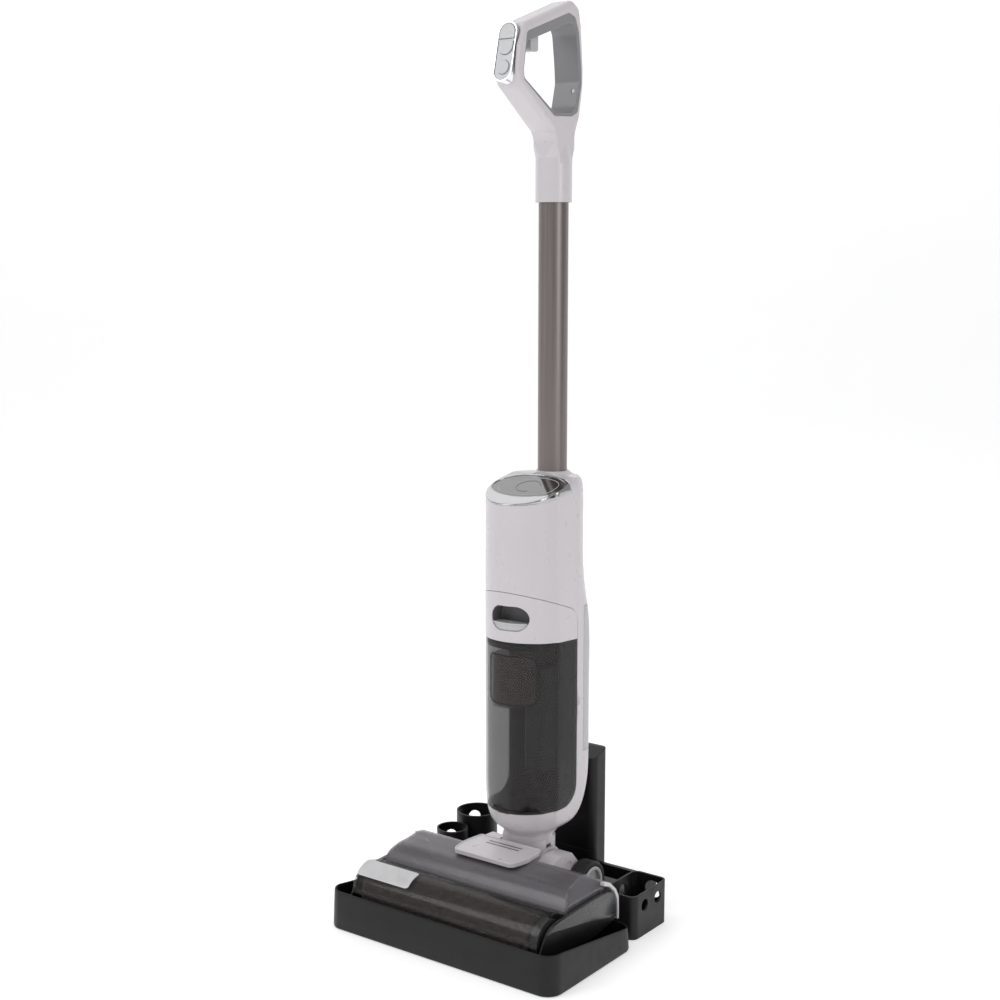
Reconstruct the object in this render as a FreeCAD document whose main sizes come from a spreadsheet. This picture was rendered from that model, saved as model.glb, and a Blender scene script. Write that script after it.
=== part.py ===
import FreeCAD, Part
import math
import os
import Sketcher

# Wet dry floor scrubber standing in its charging and self-cleaning dock, in millimetres.
# +X is to the right seen from the front, -Y is the front, where the roller is, and +Z is up.
# The origin is on the floor, on the centre plane, under the neck's pivot.
# Every driving size is a cell of the spreadsheet "dims".

doc = FreeCAD.newDocument("floor_scrubber")
sheet = doc.addObject("Spreadsheet::Sheet", "dims")

DIMENSIONS = [
    # dock
    ("tray_half", 167.5), ("tray_front", -190), ("tray_back", -17), ("tray_front_height", 48),
    ("tray_back_height", 27.5), ("tray_wall", 3), ("tray_corner", 20), ("rib_top", 17.4),
    ("base_half", 95), ("base_front", -16.6), ("base_back", 113), ("base_top", 17.5),
    ("post_half", 44), ("post_front", 79), ("post_back", 113), ("post_seam", 60), ("post_top", 190),
    ("post_corner", 10), ("post_wall", 3),
    ("cup_rear_x", -136), ("cup_rear_y", 71), ("cup_rear_radius", 27), ("cup_rear_top", 80),
    ("cup_front_x", -138), ("cup_front_y", 21), ("cup_front_radius", 20.5), ("cup_front_top", 70),
    ("cup_wall", 2), ("basket_left", 110), ("basket_right", 158), ("basket_front", -5),
    ("basket_back", 73), ("basket_top", 54), ("basket_wall", 2.5), ("basket_corner", 10),
    # floor head
    ("floor_plane", 18), ("head_half", 144), ("plate_thick", 5), ("head_back", -17),
    ("head_under", 23), ("head_rear_under", 30), ("chamber_back", -114),
    ("roller_y", -147), ("roller_z", 46.5), ("roller_radius", 28.5), ("roller_half", 127),
    ("core_radius", 19), ("shaft_radius", 4), ("cover_gap", 0.8), ("cover_thick", 2.2),
    ("cover_half", 136), ("dome_top", 93.5),
    ("wheel_y", 21), ("wheel_z", 45.5), ("wheel_radius", 27.5), ("hub_radius", 21),
    ("wheel_inner", 62), ("wheel_outer", 82), ("axle_radius", 4), ("run_fit", 0.05),
    ("arm_inner", 38), ("arm_outer", 60), ("pivot_y", 0), ("pivot_z", 70), ("pin_radius", 6),
    ("motor_y", -72), ("motor_z", 52), ("motor_radius", 18), ("pulley_radius", 9), ("motor_pulley_radius", 6),
    ("belt_thick", 1.6),
    # neck
    ("barrel_radius", 19), ("barrel_half", 34), ("neck_half", 30), ("neck_depth", 24),
    ("swivel_plane", 106), ("swivel_radius", 31.8), ("hose_radius", 13), ("hose_top", 140.5),
    # upper body
    ("body_half", 52), ("body_front", 57), ("body_back", 68), ("shell_wall", 2.5), ("seam_y", 28),
    ("partition", 2.5), ("tank_top", 351.5), ("lid_slope", 3.7), ("split_z", 395), ("split_slope", 19.7),
    ("seam_gap", 0.5),
    ("rim_front", 141), ("rim_radius", 25), ("bead_y", -53.6), ("bead_radius", 0.9),
    ("clean_front", 42), ("clean_bottom", 205), ("clean_top", 388),
    ("glass_y", -3.7), ("glass_z", 536.5), ("glass_half", 49.6), ("glass_depth", 30.2), ("glass_tilt", 17),
    ("chrome_z", 529), ("chrome_rise", 0.165), ("ring_proud", 0.8),
    ("tube_y", 47), ("tube_radius", 18), ("tube_wall", 1.6), ("tube_foot", 500), ("tube_end", 905),
    ("collar_radius", 19.8), ("collar_top", 551), ("grip_z", 384), ("grip_radius", 15),
    # handle
    ("socket_radius", 22), ("socket_foot", 873), ("blend_z", 925), ("cone_z", 955), ("grip_foot", 1002), ("loop_half", 18), ("lining_half", 17.4),
    ("pod_y", -47.5), ("pod_z", 1038), ("pod_tilt", 13), ("pod_half", 13),
    ("pod_length", 34.5), ("button_gap", 0.35),
]
for row, (alias, number) in enumerate(DIMENSIONS, start=1):
    sheet.set("A%d" % row, alias)
    sheet.set("B%d" % row, str(number))
    sheet.setAlias("B%d" % row, alias)
doc.recompute()

NODES = {}


def size(alias):
    """The number in one cell of the sheet."""
    return float(sheet.get(alias))


def cell(text):
    """An expression in which every sheet alias is spelt out, such as dims.tray_wall."""
    words = []
    word = ""
    for letter in str(text) + " ":
        if letter.isalnum() or letter == "_":
            word += letter
            continue
        words.append("dims." + word if word in ALIASES else word)
        words.append(letter)
        word = ""
    return "".join(words).strip()


ALIASES = {alias for alias, number in DIMENSIONS}


def number_of(text):
    """The value of an expression of aliases."""
    return float(sheet.evalExpression(cell(text)))


def bind(obj, prop, text):
    obj.setExpression(prop, cell(text))


def node(obj, name):
    """Give a finished sub-part its name."""
    obj.Label = name
    NODES[name] = obj
    return obj


def place(obj, x, y, z):
    for letter, text in zip("xyz", (x, y, z)):
        bind(obj, "Placement.Base." + letter, text)
    return obj


def block(low, high):
    """A box between two corners."""
    box = doc.addObject("Part::Box", "box")
    for prop, start, end in zip(("Length", "Width", "Height"), low, high):
        bind(box, prop, "(%s) - (%s)" % (end, start))
    return place(box, *low)


TURNS = {
    "X": FreeCAD.Rotation(FreeCAD.Vector(0, 1, 0), 90),
    "Y": FreeCAD.Rotation(FreeCAD.Vector(1, 0, 0), -90),
    "Z": FreeCAD.Rotation(),
}


def rod(axis, radius, start, end, across, up):
    """A cylinder along a main axis from start to end; across and up are its other two coordinates."""
    cylinder = doc.addObject("Part::Cylinder", "rod")
    cylinder.Placement.Rotation = TURNS[axis]
    bind(cylinder, "Radius", radius)
    bind(cylinder, "Height", "(%s) - (%s)" % (end, start))
    spots = {"X": (start, across, up), "Y": (across, start, up), "Z": (across, up, start)}
    return place(cylinder, *spots[axis])


def fuse(*shapes):
    union = doc.addObject("Part::MultiFuse", "union")
    union.Shapes = list(shapes)
    return union


def cut(base, *tools):
    difference = doc.addObject("Part::Cut", "difference")
    difference.Base = base
    difference.Tool = tools[0] if len(tools) == 1 else fuse(*tools)
    return difference


def common(first, second):
    overlap = doc.addObject("Part::Common", "overlap")
    overlap.Base = first
    overlap.Tool = second
    return overlap


def feature(shape):
    """A Part::Feature for a shape that Part's functions made."""
    holder = doc.addObject("Part::Feature", "shape")
    holder.Shape = shape
    return holder


def plane_point(plane, u, v):
    return {"XY": (u, v, None), "XZ": (u, None, v), "YZ": (None, u, v)}[plane]


def prism(plane, corners, start, end, rounds=()):
    """A PartDesign body: a straight-sided outline padded from start to end along the plane's normal.

    corners are pairs of expressions; rounds are (radius, corner numbers) for edges along the pad.
    """
    body = doc.addObject("PartDesign::Body", "body")
    sketch = body.newObject("Sketcher::SketchObject", "outline")
    role = plane + "_Plane"
    origin_plane = [item for item in body.Origin.OriginFeatures if item.Role == role][0]
    sketch.AttachmentSupport = [(origin_plane, "")]
    sketch.MapMode = "FlatFace"
    points = [FreeCAD.Vector(number_of(u), number_of(v), 0) for u, v in corners]
    count = len(points)
    for index in range(count):
        sketch.addGeometry(Part.LineSegment(points[index], points[(index + 1) % count]))
    for index in range(count):
        sketch.addConstraint(Sketcher.Constraint("Coincident", index, 2, (index + 1) % count, 1))
    for index, corner in enumerate(corners):
        for kind, text, value in zip(("DistanceX", "DistanceY"), corner, points[index]):
            place_at = sketch.addConstraint(Sketcher.Constraint(kind, -1, 1, index, 1, value))
            bind(sketch, "Constraints[%d]" % place_at, text)
    pad = body.newObject("PartDesign::Pad", "pad")
    pad.Profile = sketch
    bind(pad, "Length", "(%s) - (%s)" % (end, start))
    # A sketch on XZ faces -Y, so its pad runs backwards from the far end.
    if plane == "XZ":
        bind(sketch, "AttachmentOffset.Base.z", "-(%s)" % end)
    else:
        bind(sketch, "AttachmentOffset.Base.z", start)
    doc.recompute()
    for radius, numbers in rounds:
        base = body.Tip
        wanted = [plane_point(plane, points[number].x, points[number].y) for number in numbers]
        edges = edges_at(base.Shape, wanted)
        fillet = body.newObject("PartDesign::Fillet", "fillet")
        fillet.Base = (base, edges)
        bind(fillet, "Radius", radius)
        doc.recompute()
    return body


def edges_at(shape, wanted):
    """Names of the straight edges whose whole length lies on one of the wanted lines."""
    names = []
    for index, edge in enumerate(shape.Edges, start=1):
        for spot in wanted:
            ends = [vertex.Point for vertex in edge.Vertexes]
            if len(ends) == 2 and all(on_line(point, spot) for point in ends):
                names.append("Edge%d" % index)
    return names


def on_line(point, spot):
    return all(want is None or abs(have - want) < 1e-4 for have, want in zip(point, spot))


def rounded_box(low, high, radius):
    """A box whose four upright edges are rounded."""
    corners = [(low[0], low[1]), (high[0], low[1]), (high[0], high[1]), (low[0], high[1])]
    return prism("XY", corners, low[2], high[2], [(radius, (0, 1, 2, 3))])


# ---------------------------------------------------------------- dock

def dock_tray():
    """Open tray whose rim falls from front to back, with ribs that carry the roller."""
    outer = rounded_box(("-tray_half", "tray_front", "0"),
                        ("tray_half", "tray_back", "tray_front_height"), "tray_corner")
    inner = rounded_box(("-tray_half + tray_wall", "tray_front + tray_wall", "tray_wall"),
                        ("tray_half - tray_wall", "tray_back - tray_wall", "tray_front_height + 1"),
                        "tray_corner - tray_wall")
    slope = prism("YZ", [("tray_front + tray_corner", "tray_front_height"),
                         ("tray_back - tray_wall - 6", "tray_back_height"),
                         ("tray_back + 1", "tray_back_height"),
                         ("tray_back + 1", "tray_front_height + 2"),
                         ("tray_front + tray_corner", "tray_front_height + 2")],
                  "-tray_half - 1", "tray_half + 1")
    tray = cut(outer, inner, slope)
    ribs = [block(("%d - 2" % x, "roller_y - 22", "tray_wall - 1"),
                  ("%d + 2" % x, "roller_y + 22", "rib_top")) for x in (-100, -50, 0, 50, 100)]
    node(fuse(tray, *ribs), "dock_tray")


def dock_base():
    """Platform under the wheels and the block that the charging tower stands on."""
    platform = rounded_box(("-base_half", "base_front", "0"),
                           ("base_half", "base_back", "base_top"), "post_corner")
    riser = rounded_box(("-post_half", "post_front", "base_top - 1"),
                        ("post_half", "post_back", "post_seam"), "post_corner")
    pads = [rod("Z", "7", "-1", "1.5", "%d" % x, "%d" % y) for x in (-80, 80) for y in (0, 96)]
    node(cut(fuse(platform, riser), *pads), "dock_base")
    feet = [rod("Z", "7", "0", "1.5", "%d" % x, "%d" % y) for x in (-80, 80) for y in (0, 96)]
    node(fuse(*feet), "dock_feet")


def dock_post():
    """Hollow charging tower behind the body, with a top that falls towards the front."""
    tower = rounded_box(("-post_half", "post_front", "post_seam"),
                        ("post_half", "post_back", "post_top"), "post_corner")
    cavity = rounded_box(("post_wall - post_half", "post_front + post_wall", "post_seam - 1"),
                         ("post_half - post_wall", "post_back - post_wall", "post_top - 14"),
                         "post_corner - post_wall")
    slope = prism("YZ", [("post_front - 1", "post_top - 9"), ("post_back - 5", "post_top"),
                         ("post_back - 5", "post_top + 2"), ("post_front - 1", "post_top + 2")],
                  "-post_half - 1", "post_half + 1")
    pins = [rod("Y", "2.5", "post_front - 1", "post_front + post_wall + 1", "%d" % x, "166")
            for x in (-12, 12)]
    node(cut(tower, cavity, slope, *pins), "dock_post")
    contacts = [rod("Y", "2.5", "post_front - 4", "post_front + post_wall + 3", "%d" % x, "166")
                for x in (-12, 12)]
    node(fuse(*contacts), "charge_contacts")


def cup(name, key, hole_z, extra=None):
    """One tube-shaped holder with a closed foot and a round hole through its upper wall."""
    across, deep, radius, top = (key + "_x", key + "_y", key + "_radius", key + "_top")
    outside = rod("Z", radius, "0", top, across, deep)
    inside = rod("Z", radius + " - cup_wall", "3", top + " + 1", across, deep)
    centre = FreeCAD.Vector(number_of(across), number_of(deep), hole_z)
    hole = feature(Part.makeCylinder(8, 60, centre, FreeCAD.Vector(-1, 1, 0)))
    if extra:
        outside = fuse(outside, extra)
    node(cut(outside, inside, hole), name)


def cups():
    """Two holders for spare roller and brush at the dock's left."""
    bracket = block(("cup_rear_x + 8", "cup_rear_y + 12", "22"), ("-post_half - 0.02", "cup_rear_y + 22", "34"))
    cup("cup_holder_rear", "cup_rear", 62, bracket)
    cup("cup_holder_front", "cup_front", 52)


def basket():
    """Rounded box for accessories at the dock's right, with round openings and a bracket to the riser."""
    outside = rounded_box(("basket_left", "basket_front", "0"),
                          ("basket_right", "basket_back", "basket_top"), "basket_corner")
    inside = rounded_box(("basket_left + basket_wall", "basket_front + basket_wall", "3"),
                         ("basket_right - basket_wall", "basket_back - basket_wall", "basket_top + 1"),
                         "basket_corner - basket_wall")
    bracket = fuse(block(("post_half + 0.02", "post_front + 12", "26"), ("basket_left + 17", "post_front + 18", "42")),
                   block(("basket_left + 11", "basket_back - 1", "26"), ("basket_left + 17", "post_front + 18", "42")))
    side_holes = [rod("X", "7.5", "basket_right - 8", "basket_right + 5", y, "basket_top - 16")
                  for y in ("basket_front + 24", "basket_front + 54")]
    back_hole = rod("Y", "11", "basket_back - 8", "basket_back + 5",
                    "(basket_left + basket_right) / 2 + 4", "basket_top - 18")
    left_hole = rod("X", "8", "basket_left - 5", "basket_left + 8", "basket_front + 46", "basket_top - 16")
    node(cut(fuse(outside, bracket), inside, back_hole, left_hole, *side_holes), "accessory_basket")


# ---------------------------------------------------------------- floor head

def yz_face(points):
    """A face in the centre plane from (y, z) points."""
    vectors = [FreeCAD.Vector(0, y, z) for y, z in points]
    return Part.Face(Part.makePolygon(vectors + vectors[:1]))


def cover_outline(inset):
    """The roller cover's side view: front dome round the roller, valley, and raised rear dome.

    inset moves it inwards, for the inside of the sheet.
    """
    y, z = size("roller_y"), size("roller_z")
    radius = size("roller_radius") + size("cover_gap") + size("cover_thick") - inset
    low = FreeCAD.Vector(0, y - radius, z)
    top = FreeCAD.Vector(0, y, z + radius)
    angle = math.radians(48)
    back = FreeCAD.Vector(0, y + radius * math.cos(angle), z + radius * math.sin(angle))
    dome = Part.Arc(low, top, back).toShape()
    crest = size("dome_top") - inset
    start = FreeCAD.Vector(0, -118.5 + inset, 68.2 - inset * 0.6)
    rise = FreeCAD.Vector(0, -108 + inset * 0.8, crest - 9.5)
    ridge = Part.BSplineCurve()
    ridge.interpolate([start, rise, FreeCAD.Vector(0, -88, crest - 3), FreeCAD.Vector(0, -62, crest),
                       FreeCAD.Vector(0, -38 - inset, 80.5 - inset * 0.6)])
    valley = Part.LineSegment(back, start).toShape()
    return low, dome, valley, ridge.toShape(), ridge.EndPoint


def cover_solid(inset, half):
    """Solid under the cover's outline, from -half to half along X."""
    low, dome, valley, ridge, end = cover_outline(inset)
    floor_z = size("roller_z")
    drop = Part.LineSegment(end, FreeCAD.Vector(0, end.y, floor_z)).toShape()
    bottom = Part.LineSegment(FreeCAD.Vector(0, end.y, floor_z), low).toShape()
    face = Part.Face(Part.Wire([dome, valley, ridge, drop, bottom]))
    solid = face.extrude(FreeCAD.Vector(2 * half, 0, 0))
    solid.translate(FreeCAD.Vector(-half, 0, 0))
    return solid


def roller_cover():
    """Clear cover over roller and duct; the rear dome's ends slope down to the side plates."""
    half = size("cover_half")
    thick = size("cover_thick")
    outer = cover_solid(0, half)
    inner = cover_solid(thick, half - thick)
    trims = []
    for side in (-1, 1):
        wedge = Part.Face(Part.makePolygon([FreeCAD.Vector(side * (half - 14), 0, 100),
                                            FreeCAD.Vector(side * (half + 1), 0, 76),
                                            FreeCAD.Vector(side * (half + 1), 0, 100),
                                            FreeCAD.Vector(side * (half - 14), 0, 100)]))
        wedge = wedge.extrude(FreeCAD.Vector(0, 200, 0))
        wedge.translate(FreeCAD.Vector(0, -200, 0))
        trims.append(wedge)
    shrunk = inner
    for wedge in trims:
        outer = outer.cut(wedge)
        lower = wedge.copy()
        lower.translate(FreeCAD.Vector(0, 0, -thick * 1.4))
        shrunk = shrunk.cut(lower)
    opening = Part.makeBox(2 * half + 2, 300, 20, FreeCAD.Vector(-half - 1, -300, size("roller_z") - 20))
    shell = outer.cut(shrunk).cut(opening)
    back = Part.makeBox(2 * half + 2, 20, 33, FreeCAD.Vector(-half - 1, -45, size("roller_z") - 1))
    shell = shell.cut(back)
    # The front dome is open at its ends; the rear dome's end walls stop above the chassis.
    for start in (-half - 1, half - thick - 0.01):
        shell = shell.cut(Part.makeBox(thick + 1.01, 81, 100, FreeCAD.Vector(start, -200, 20)))
        shell = shell.cut(Part.makeBox(thick + 1.01, 100, 46.5, FreeCAD.Vector(start, -119.5, 20)))
    seat = Part.makeBox(104, 72, 20, FreeCAD.Vector(-52, -100, 84))
    shell = shell.cut(seat)
    node(feature(shell), "roller_cover")


SIDE_PROFILE = [(-176, 40), (-172.7, 46), (-163, 60), (-150, 67), (-141, 68.5), (-106, 70),
                (-68, 71), (-43, 71.2), (-30, 66), (-23.5, 55), (-22, 40)]
STRIP_OUTER = [(-49, 84.7), (-35.5, 80.2), (-23, 69.1), (-16.8, 58.2), (-16, 43.8), (-16, 30)]
STRIP_INNER = [(-18.8, 30), (-19, 44), (-20.3, 56), (-26.5, 67.3), (-37.5, 76.6), (-49, 80.6)]


def side_plate(name, side):
    """Dark end plate of the head, with a bore for the roller's end."""
    profile = SIDE_PROFILE + [(-22, 31), (-60, 24), (-168, 24)]
    face = yz_face(profile)
    thick = size("plate_thick")
    start = size("head_half") - thick if side > 0 else -size("head_half")
    solid = face.extrude(FreeCAD.Vector(thick, 0, 0))
    solid.translate(FreeCAD.Vector(start, 0, 0))
    node(feature(solid), name)


def head_chassis():
    """Lower frame: floor, wall behind the roller, side walls, and the motor's cradle."""
    floor_plate = prism("YZ", [("chamber_back", "head_under"), ("-60", "head_under"),
                               ("-30", "head_rear_under"), ("head_back - 3", "head_rear_under"),
                               ("head_back - 3", "head_rear_under + 3"), ("-31", "head_rear_under + 3"),
                               ("-61", "head_under + 3"), ("chamber_back", "head_under + 3")],
                        "-head_half + plate_thick + 0.2", "head_half - plate_thick - 0.2")
    wall = block(("-head_half + plate_thick + 0.2", "chamber_back", "head_under"),
                 ("head_half - plate_thick - 0.2", "chamber_back + 3", "63"))
    ends = [block((low, "chamber_back", "head_under"), (high, "head_back - 26", "62"))
            for low, high in (("-head_half + plate_thick + 0.2", "-head_half + plate_thick + 3"),
                              ("head_half - plate_thick - 3", "head_half - plate_thick - 0.2"))]
    cradle = cut(block(("-92", "motor_y - 12", "head_under"), ("-30", "motor_y + 12", "motor_z - 6")),
                 rod("X", "motor_radius + 0.05", "-93", "-29", "motor_y", "motor_z"))
    mouth = block(("-40", "chamber_back - 1", "30"), ("40", "chamber_back + 4", "54"))
    belt_slot = block(("-head_half", "chamber_back - 1", "34"), ("-127", "chamber_back + 4", "62"))
    node(cut(fuse(floor_plate, wall, cradle, *ends), mouth, belt_slot), "head_chassis")


def head_housing():
    """White rear housing with two arms that hold the neck's pivot and the wheels' axles."""
    back = prism("YZ", [("-37.4", "81.4"), ("-27", "75"), ("-20", "66"), ("head_back", "54"),
                        ("head_back", "head_rear_under"), ("head_back - 2.8", "head_rear_under"),
                        ("head_back - 2.8", "53"), ("-22.8", "64.5"), ("-29", "72.4"), ("-37.4", "77.8")],
                 "-head_half + plate_thick + 0.2", "head_half - plate_thick - 0.2")
    parts = [back]
    for low, high in (("arm_inner", "arm_outer"), ("-arm_outer", "-arm_inner")):
        parts.append(prism("YZ", [("-37", "81.5"), ("-16", "87"), ("pivot_y + 6", "86"),
                                  ("pivot_y + 15", "76"), ("wheel_y + 12", "wheel_z + 12"),
                                  ("wheel_y + 14", "wheel_z"), ("wheel_y + 8", "wheel_z - 11"),
                                  ("wheel_y - 10", "wheel_z - 12"), ("head_back - 1", "head_rear_under"),
                                  ("head_back - 1", "60"), ("-28", "76")],
                           low, high, [("6", (1, 2, 3, 4, 5, 6))]))
    # Bright edge strips that close the housing's two ends over the side plates.
    for start in (size("head_half") - 6, 0.5 - size("head_half")):
        strip = yz_face(STRIP_OUTER + STRIP_INNER).extrude(FreeCAD.Vector(5.5, 0, 0))
        strip.translate(FreeCAD.Vector(start, 0, 0))
        parts.append(feature(strip))
    pin_hole = rod("X", "pin_radius + 0.02", "-arm_outer - 1", "arm_outer + 1", "pivot_y", "pivot_z")
    axle_hole = rod("X", "axle_radius + 0.02", "-arm_outer - 1", "arm_outer + 1", "wheel_y", "wheel_z")
    node(cut(fuse(*parts), pin_hole, axle_hole), "head_housing")


def pivots():
    """Stub pins of the neck pivot and stub axles of the wheels, one pair each."""
    pins = [rod("X", "pin_radius", low, high, "pivot_y", "pivot_z")
            for low, high in (("barrel_half - 12", "arm_outer - 1"), ("1 - arm_outer", "12 - barrel_half"))]
    node(fuse(*pins), "pivot_pins")
    axles = [rod("X", "axle_radius", low, high, "wheel_y", "wheel_z")
             for low, high in (("arm_inner + 2", "wheel_outer - 4"), ("4 - wheel_outer", "-arm_inner - 2"))]
    node(fuse(*axles), "wheel_axles")


def wheel(side, low, high, face):
    """One rear wheel: a hub that runs on the stub axle and a soft tyre."""
    hub = cut(rod("X", "hub_radius", low, high, "wheel_y", "wheel_z"),
              rod("X", "axle_radius + run_fit", face[0], face[1], "wheel_y", "wheel_z"))
    node(hub, "wheel_hub_" + side)
    tyre = cut(rod("X", "wheel_radius", low, high, "wheel_y", "wheel_z"),
               rod("X", "hub_radius", "(%s) - 1" % low, "(%s) + 1" % high, "wheel_y", "wheel_z"))
    node(tyre, "wheel_tyre_" + side)


def wheels():
    wheel("right", "wheel_inner", "wheel_outer", ("wheel_inner - 1", "wheel_outer - 3.5"))
    wheel("left", "-wheel_outer", "-wheel_inner", ("3.5 - wheel_outer", "1 - wheel_inner"))


def roller():
    """Removable roller: core with shaft stubs, microfibre sleeve, and the grip cap at its free end."""
    core = cut(rod("X", "core_radius", "-roller_half + 1", "roller_half - 4", "roller_y", "roller_z"),
               rod("X", "core_radius - 2.5", "-roller_half + 5", "roller_half - 8", "roller_y", "roller_z"))
    stub = rod("X", "shaft_radius", "-head_half + plate_thick + 1.5", "-roller_half + 2", "roller_y", "roller_z")
    toothed = rod("X", "pulley_radius", "-roller_half - 8", "-roller_half - 1", "roller_y", "roller_z")
    node(fuse(core, stub, toothed), "roller_core")
    sleeve = cut(rod("X", "roller_radius", "-roller_half + 1", "roller_half - 4", "roller_y", "roller_z"),
                 rod("X", "core_radius", "-roller_half", "roller_half", "roller_y", "roller_z"))
    node(sleeve, "roller_sleeve")
    cap = cut(fuse(rod("X", "core_radius + 5", "roller_half - 3.6", "head_half - plate_thick - 5.5",
                       "roller_y", "roller_z"),
                   rod("X", "shaft_radius", "head_half - plate_thick - 6", "head_half - plate_thick - 0.4",
                       "roller_y", "roller_z")),
              rod("X", "shaft_radius", "roller_half - 5", "roller_half - 1", "roller_y", "roller_z"))
    node(cap, "roller_end_cap")


def drive():
    """Brush motor, its pulley and the belt to the roller at the head's left end."""
    motor = fuse(rod("X", "motor_radius", "-90", "-32", "motor_y", "motor_z"),
                 rod("X", "7", "-94", "-90", "motor_y", "motor_z"))
    node(cut(motor, rod("X", "3 + run_fit", "-95", "-60", "motor_y", "motor_z")), "brush_motor")
    pulley = fuse(rod("X", "3", "-roller_half - 8", "-62", "motor_y", "motor_z"),
                  rod("X", "motor_pulley_radius", "-roller_half - 8", "-roller_half - 1", "motor_y", "motor_z"))
    node(pulley, "motor_pulley")
    belt_low, belt_high = "-roller_half - 7", "-roller_half - 2"
    node(feature(belt_shape(number_of(belt_low), number_of(belt_high))), "drive_belt")


def belt_shape(low, high):
    """A closed belt round the roller's pulley and the smaller one on the motor."""
    play = 0.15
    first = FreeCAD.Vector(low, size("roller_y"), size("roller_z"))
    second = FreeCAD.Vector(low, size("motor_y"), size("motor_z"))
    radii = (size("pulley_radius") + play, size("motor_pulley_radius") + play)
    outer = belt_loop(first, second, radii[0] + size("belt_thick"), radii[1] + size("belt_thick"))
    inner = belt_loop(first, second, *radii)
    return Part.Face(outer).cut(Part.Face(inner)).extrude(FreeCAD.Vector(high - low, 0, 0))


def belt_loop(first, second, big, small):
    """A closed wire of two arcs and their outer tangents round two points in a YZ plane."""
    span = second - first
    lean = math.asin((big - small) / span.Length)
    heading = math.atan2(span.z, span.y)

    def spot(centre, radius, angle):
        return centre + FreeCAD.Vector(0, radius * math.cos(angle), radius * math.sin(angle))

    upper, lower = heading + math.pi / 2 - lean, heading - math.pi / 2 + lean
    return Part.Wire([
        Part.Arc(spot(first, big, upper), spot(first, big, heading + math.pi), spot(first, big, lower)).toShape(),
        Part.LineSegment(spot(first, big, lower), spot(second, small, lower)).toShape(),
        Part.Arc(spot(second, small, lower), spot(second, small, heading), spot(second, small, upper)).toShape(),
        Part.LineSegment(spot(second, small, upper), spot(first, big, upper)).toShape(),
    ])


def head_details():
    """Duct, scraper and squeegee behind the roller, and the water spray bar over it."""
    duct_out = prism("YZ", [("chamber_back + 3.2", "28"), ("-60", "30"), ("-24", "46"), ("-24", "66"),
                            ("-60", "58"), ("chamber_back + 3.2", "56")], "-28", "36")
    duct_in = prism("YZ", [("chamber_back - 2", "30"), ("-60", "32"), ("-20", "48"), ("-20", "64"),
                           ("-60", "56"), ("chamber_back - 2", "54")], "-26", "34")
    node(cut(duct_out, duct_in), "suction_duct")
    node(block(("-roller_half", "chamber_back - 3", "floor_plane + 0.6"),
               ("roller_half", "chamber_back - 0.1", "34")), "squeegee")
    node(cut(block(("-90", "-104", "66"), ("90", "-92", "74")),
             rod("X", "3", "-91", "91", "-98", "70")), "spray_bar")


def cover_latch():
    """Raised grip plate of the cover on the head, with two finger slots, and its return spring."""
    plate = prism("XY", [("-44", "-97"), ("44", "-97"), ("50", "-72"), ("46", "-37"), ("-46", "-37"),
                         ("-50", "-72")], "94", "98.5", [("9", (0, 1, 3, 4)), ("14", (2, 5))])
    foot = block(("-30", "-86", "86"), ("30", "-46", "95"))
    slots = [block(("-25", y, "95.5"), ("25", "(%s) + 3" % y, "100")) for y in ("-57", "-50")]
    node(cut(fuse(plate, foot), *slots), "cover_latch")


# ---------------------------------------------------------------- neck

def neck():
    """Yoke that tips on the pivot pins, with the swivel collar on top and the hose through it."""
    barrel = rod("X", "barrel_radius", "-barrel_half", "barrel_half", "pivot_y", "pivot_z")
    column = prism("XY", [("-neck_half", "-neck_depth"), ("neck_half", "-neck_depth"),
                          ("neck_half", "neck_depth"), ("-neck_half", "neck_depth")],
                   "pivot_z + 4", "swivel_plane - 6", [("14", (0, 1, 2, 3))])
    low, high = size("neck_half"), size("swivel_radius")
    collar = feature(Part.makeCone(low, high, 18, FreeCAD.Vector(0, 0, size("swivel_plane") - 18.3)))
    bore = rod("Z", "hose_radius + 0.1", "40", "swivel_plane + 1", "0", "0")
    pins = rod("X", "pin_radius + run_fit", "-barrel_half - 1", "barrel_half + 1", "pivot_y", "pivot_z")
    tab_seat = block(("neck_half - 3", "-5", "82"), ("neck_half + 1", "4", "92"))
    node(cut(fuse(barrel, column, collar), bore, pins, tab_seat), "neck_yoke")
    node(block(("neck_half - 3", "-4.9", "82.1"), ("neck_half + 0.6", "3.9", "91.9")), "neck_lock_tab")
    node(cut(rod("Z", "hose_radius", "58", "hose_top", "0", "0"),
             rod("Z", "hose_radius - 2", "57", "hose_top + 1", "0", "0")), "neck_hose")


# ---------------------------------------------------------------- upper body

BODY_SECTIONS = [
    # height, half width, front, back, rear corner
    (106, 32, 32, 31, 23), (109, 33.2, 33.2, 34, 23), (112, 37.5, 36.5, 41, 23), (116, 42.2, 41.5, 48, 23),
    (122, 45.8, 47, 53, 22.5), (132, 48.7, 52.3, 58, 22), (146, 50.6, 55.3, 62, 21), (165, 51.7, 56.6, 65.7, 20),
    (190, 52, 57, 67.8, 20), (230, 52, 57, 68, 20), (290, 52, 57, 68, 20), (350, 52, 57, 68, 20),
    (378, 52, 57, 67.8, 24), (400, 52, 57, 67.5, 31), (425, 51.9, 56.9, 67.4, 38),
    (470, 51.7, 56.7, 67.3, 41), (505, 51.6, 56.6, 67.2, 41), (520, 51.6, 56.6, 67.2, 41),
    (530, 51.5, 56.4, 67, 41), (537, 51, 55.5, 66, 40), (543, 49.5, 53, 64, 38), (547, 46, 48, 61, 35),
]


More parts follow.
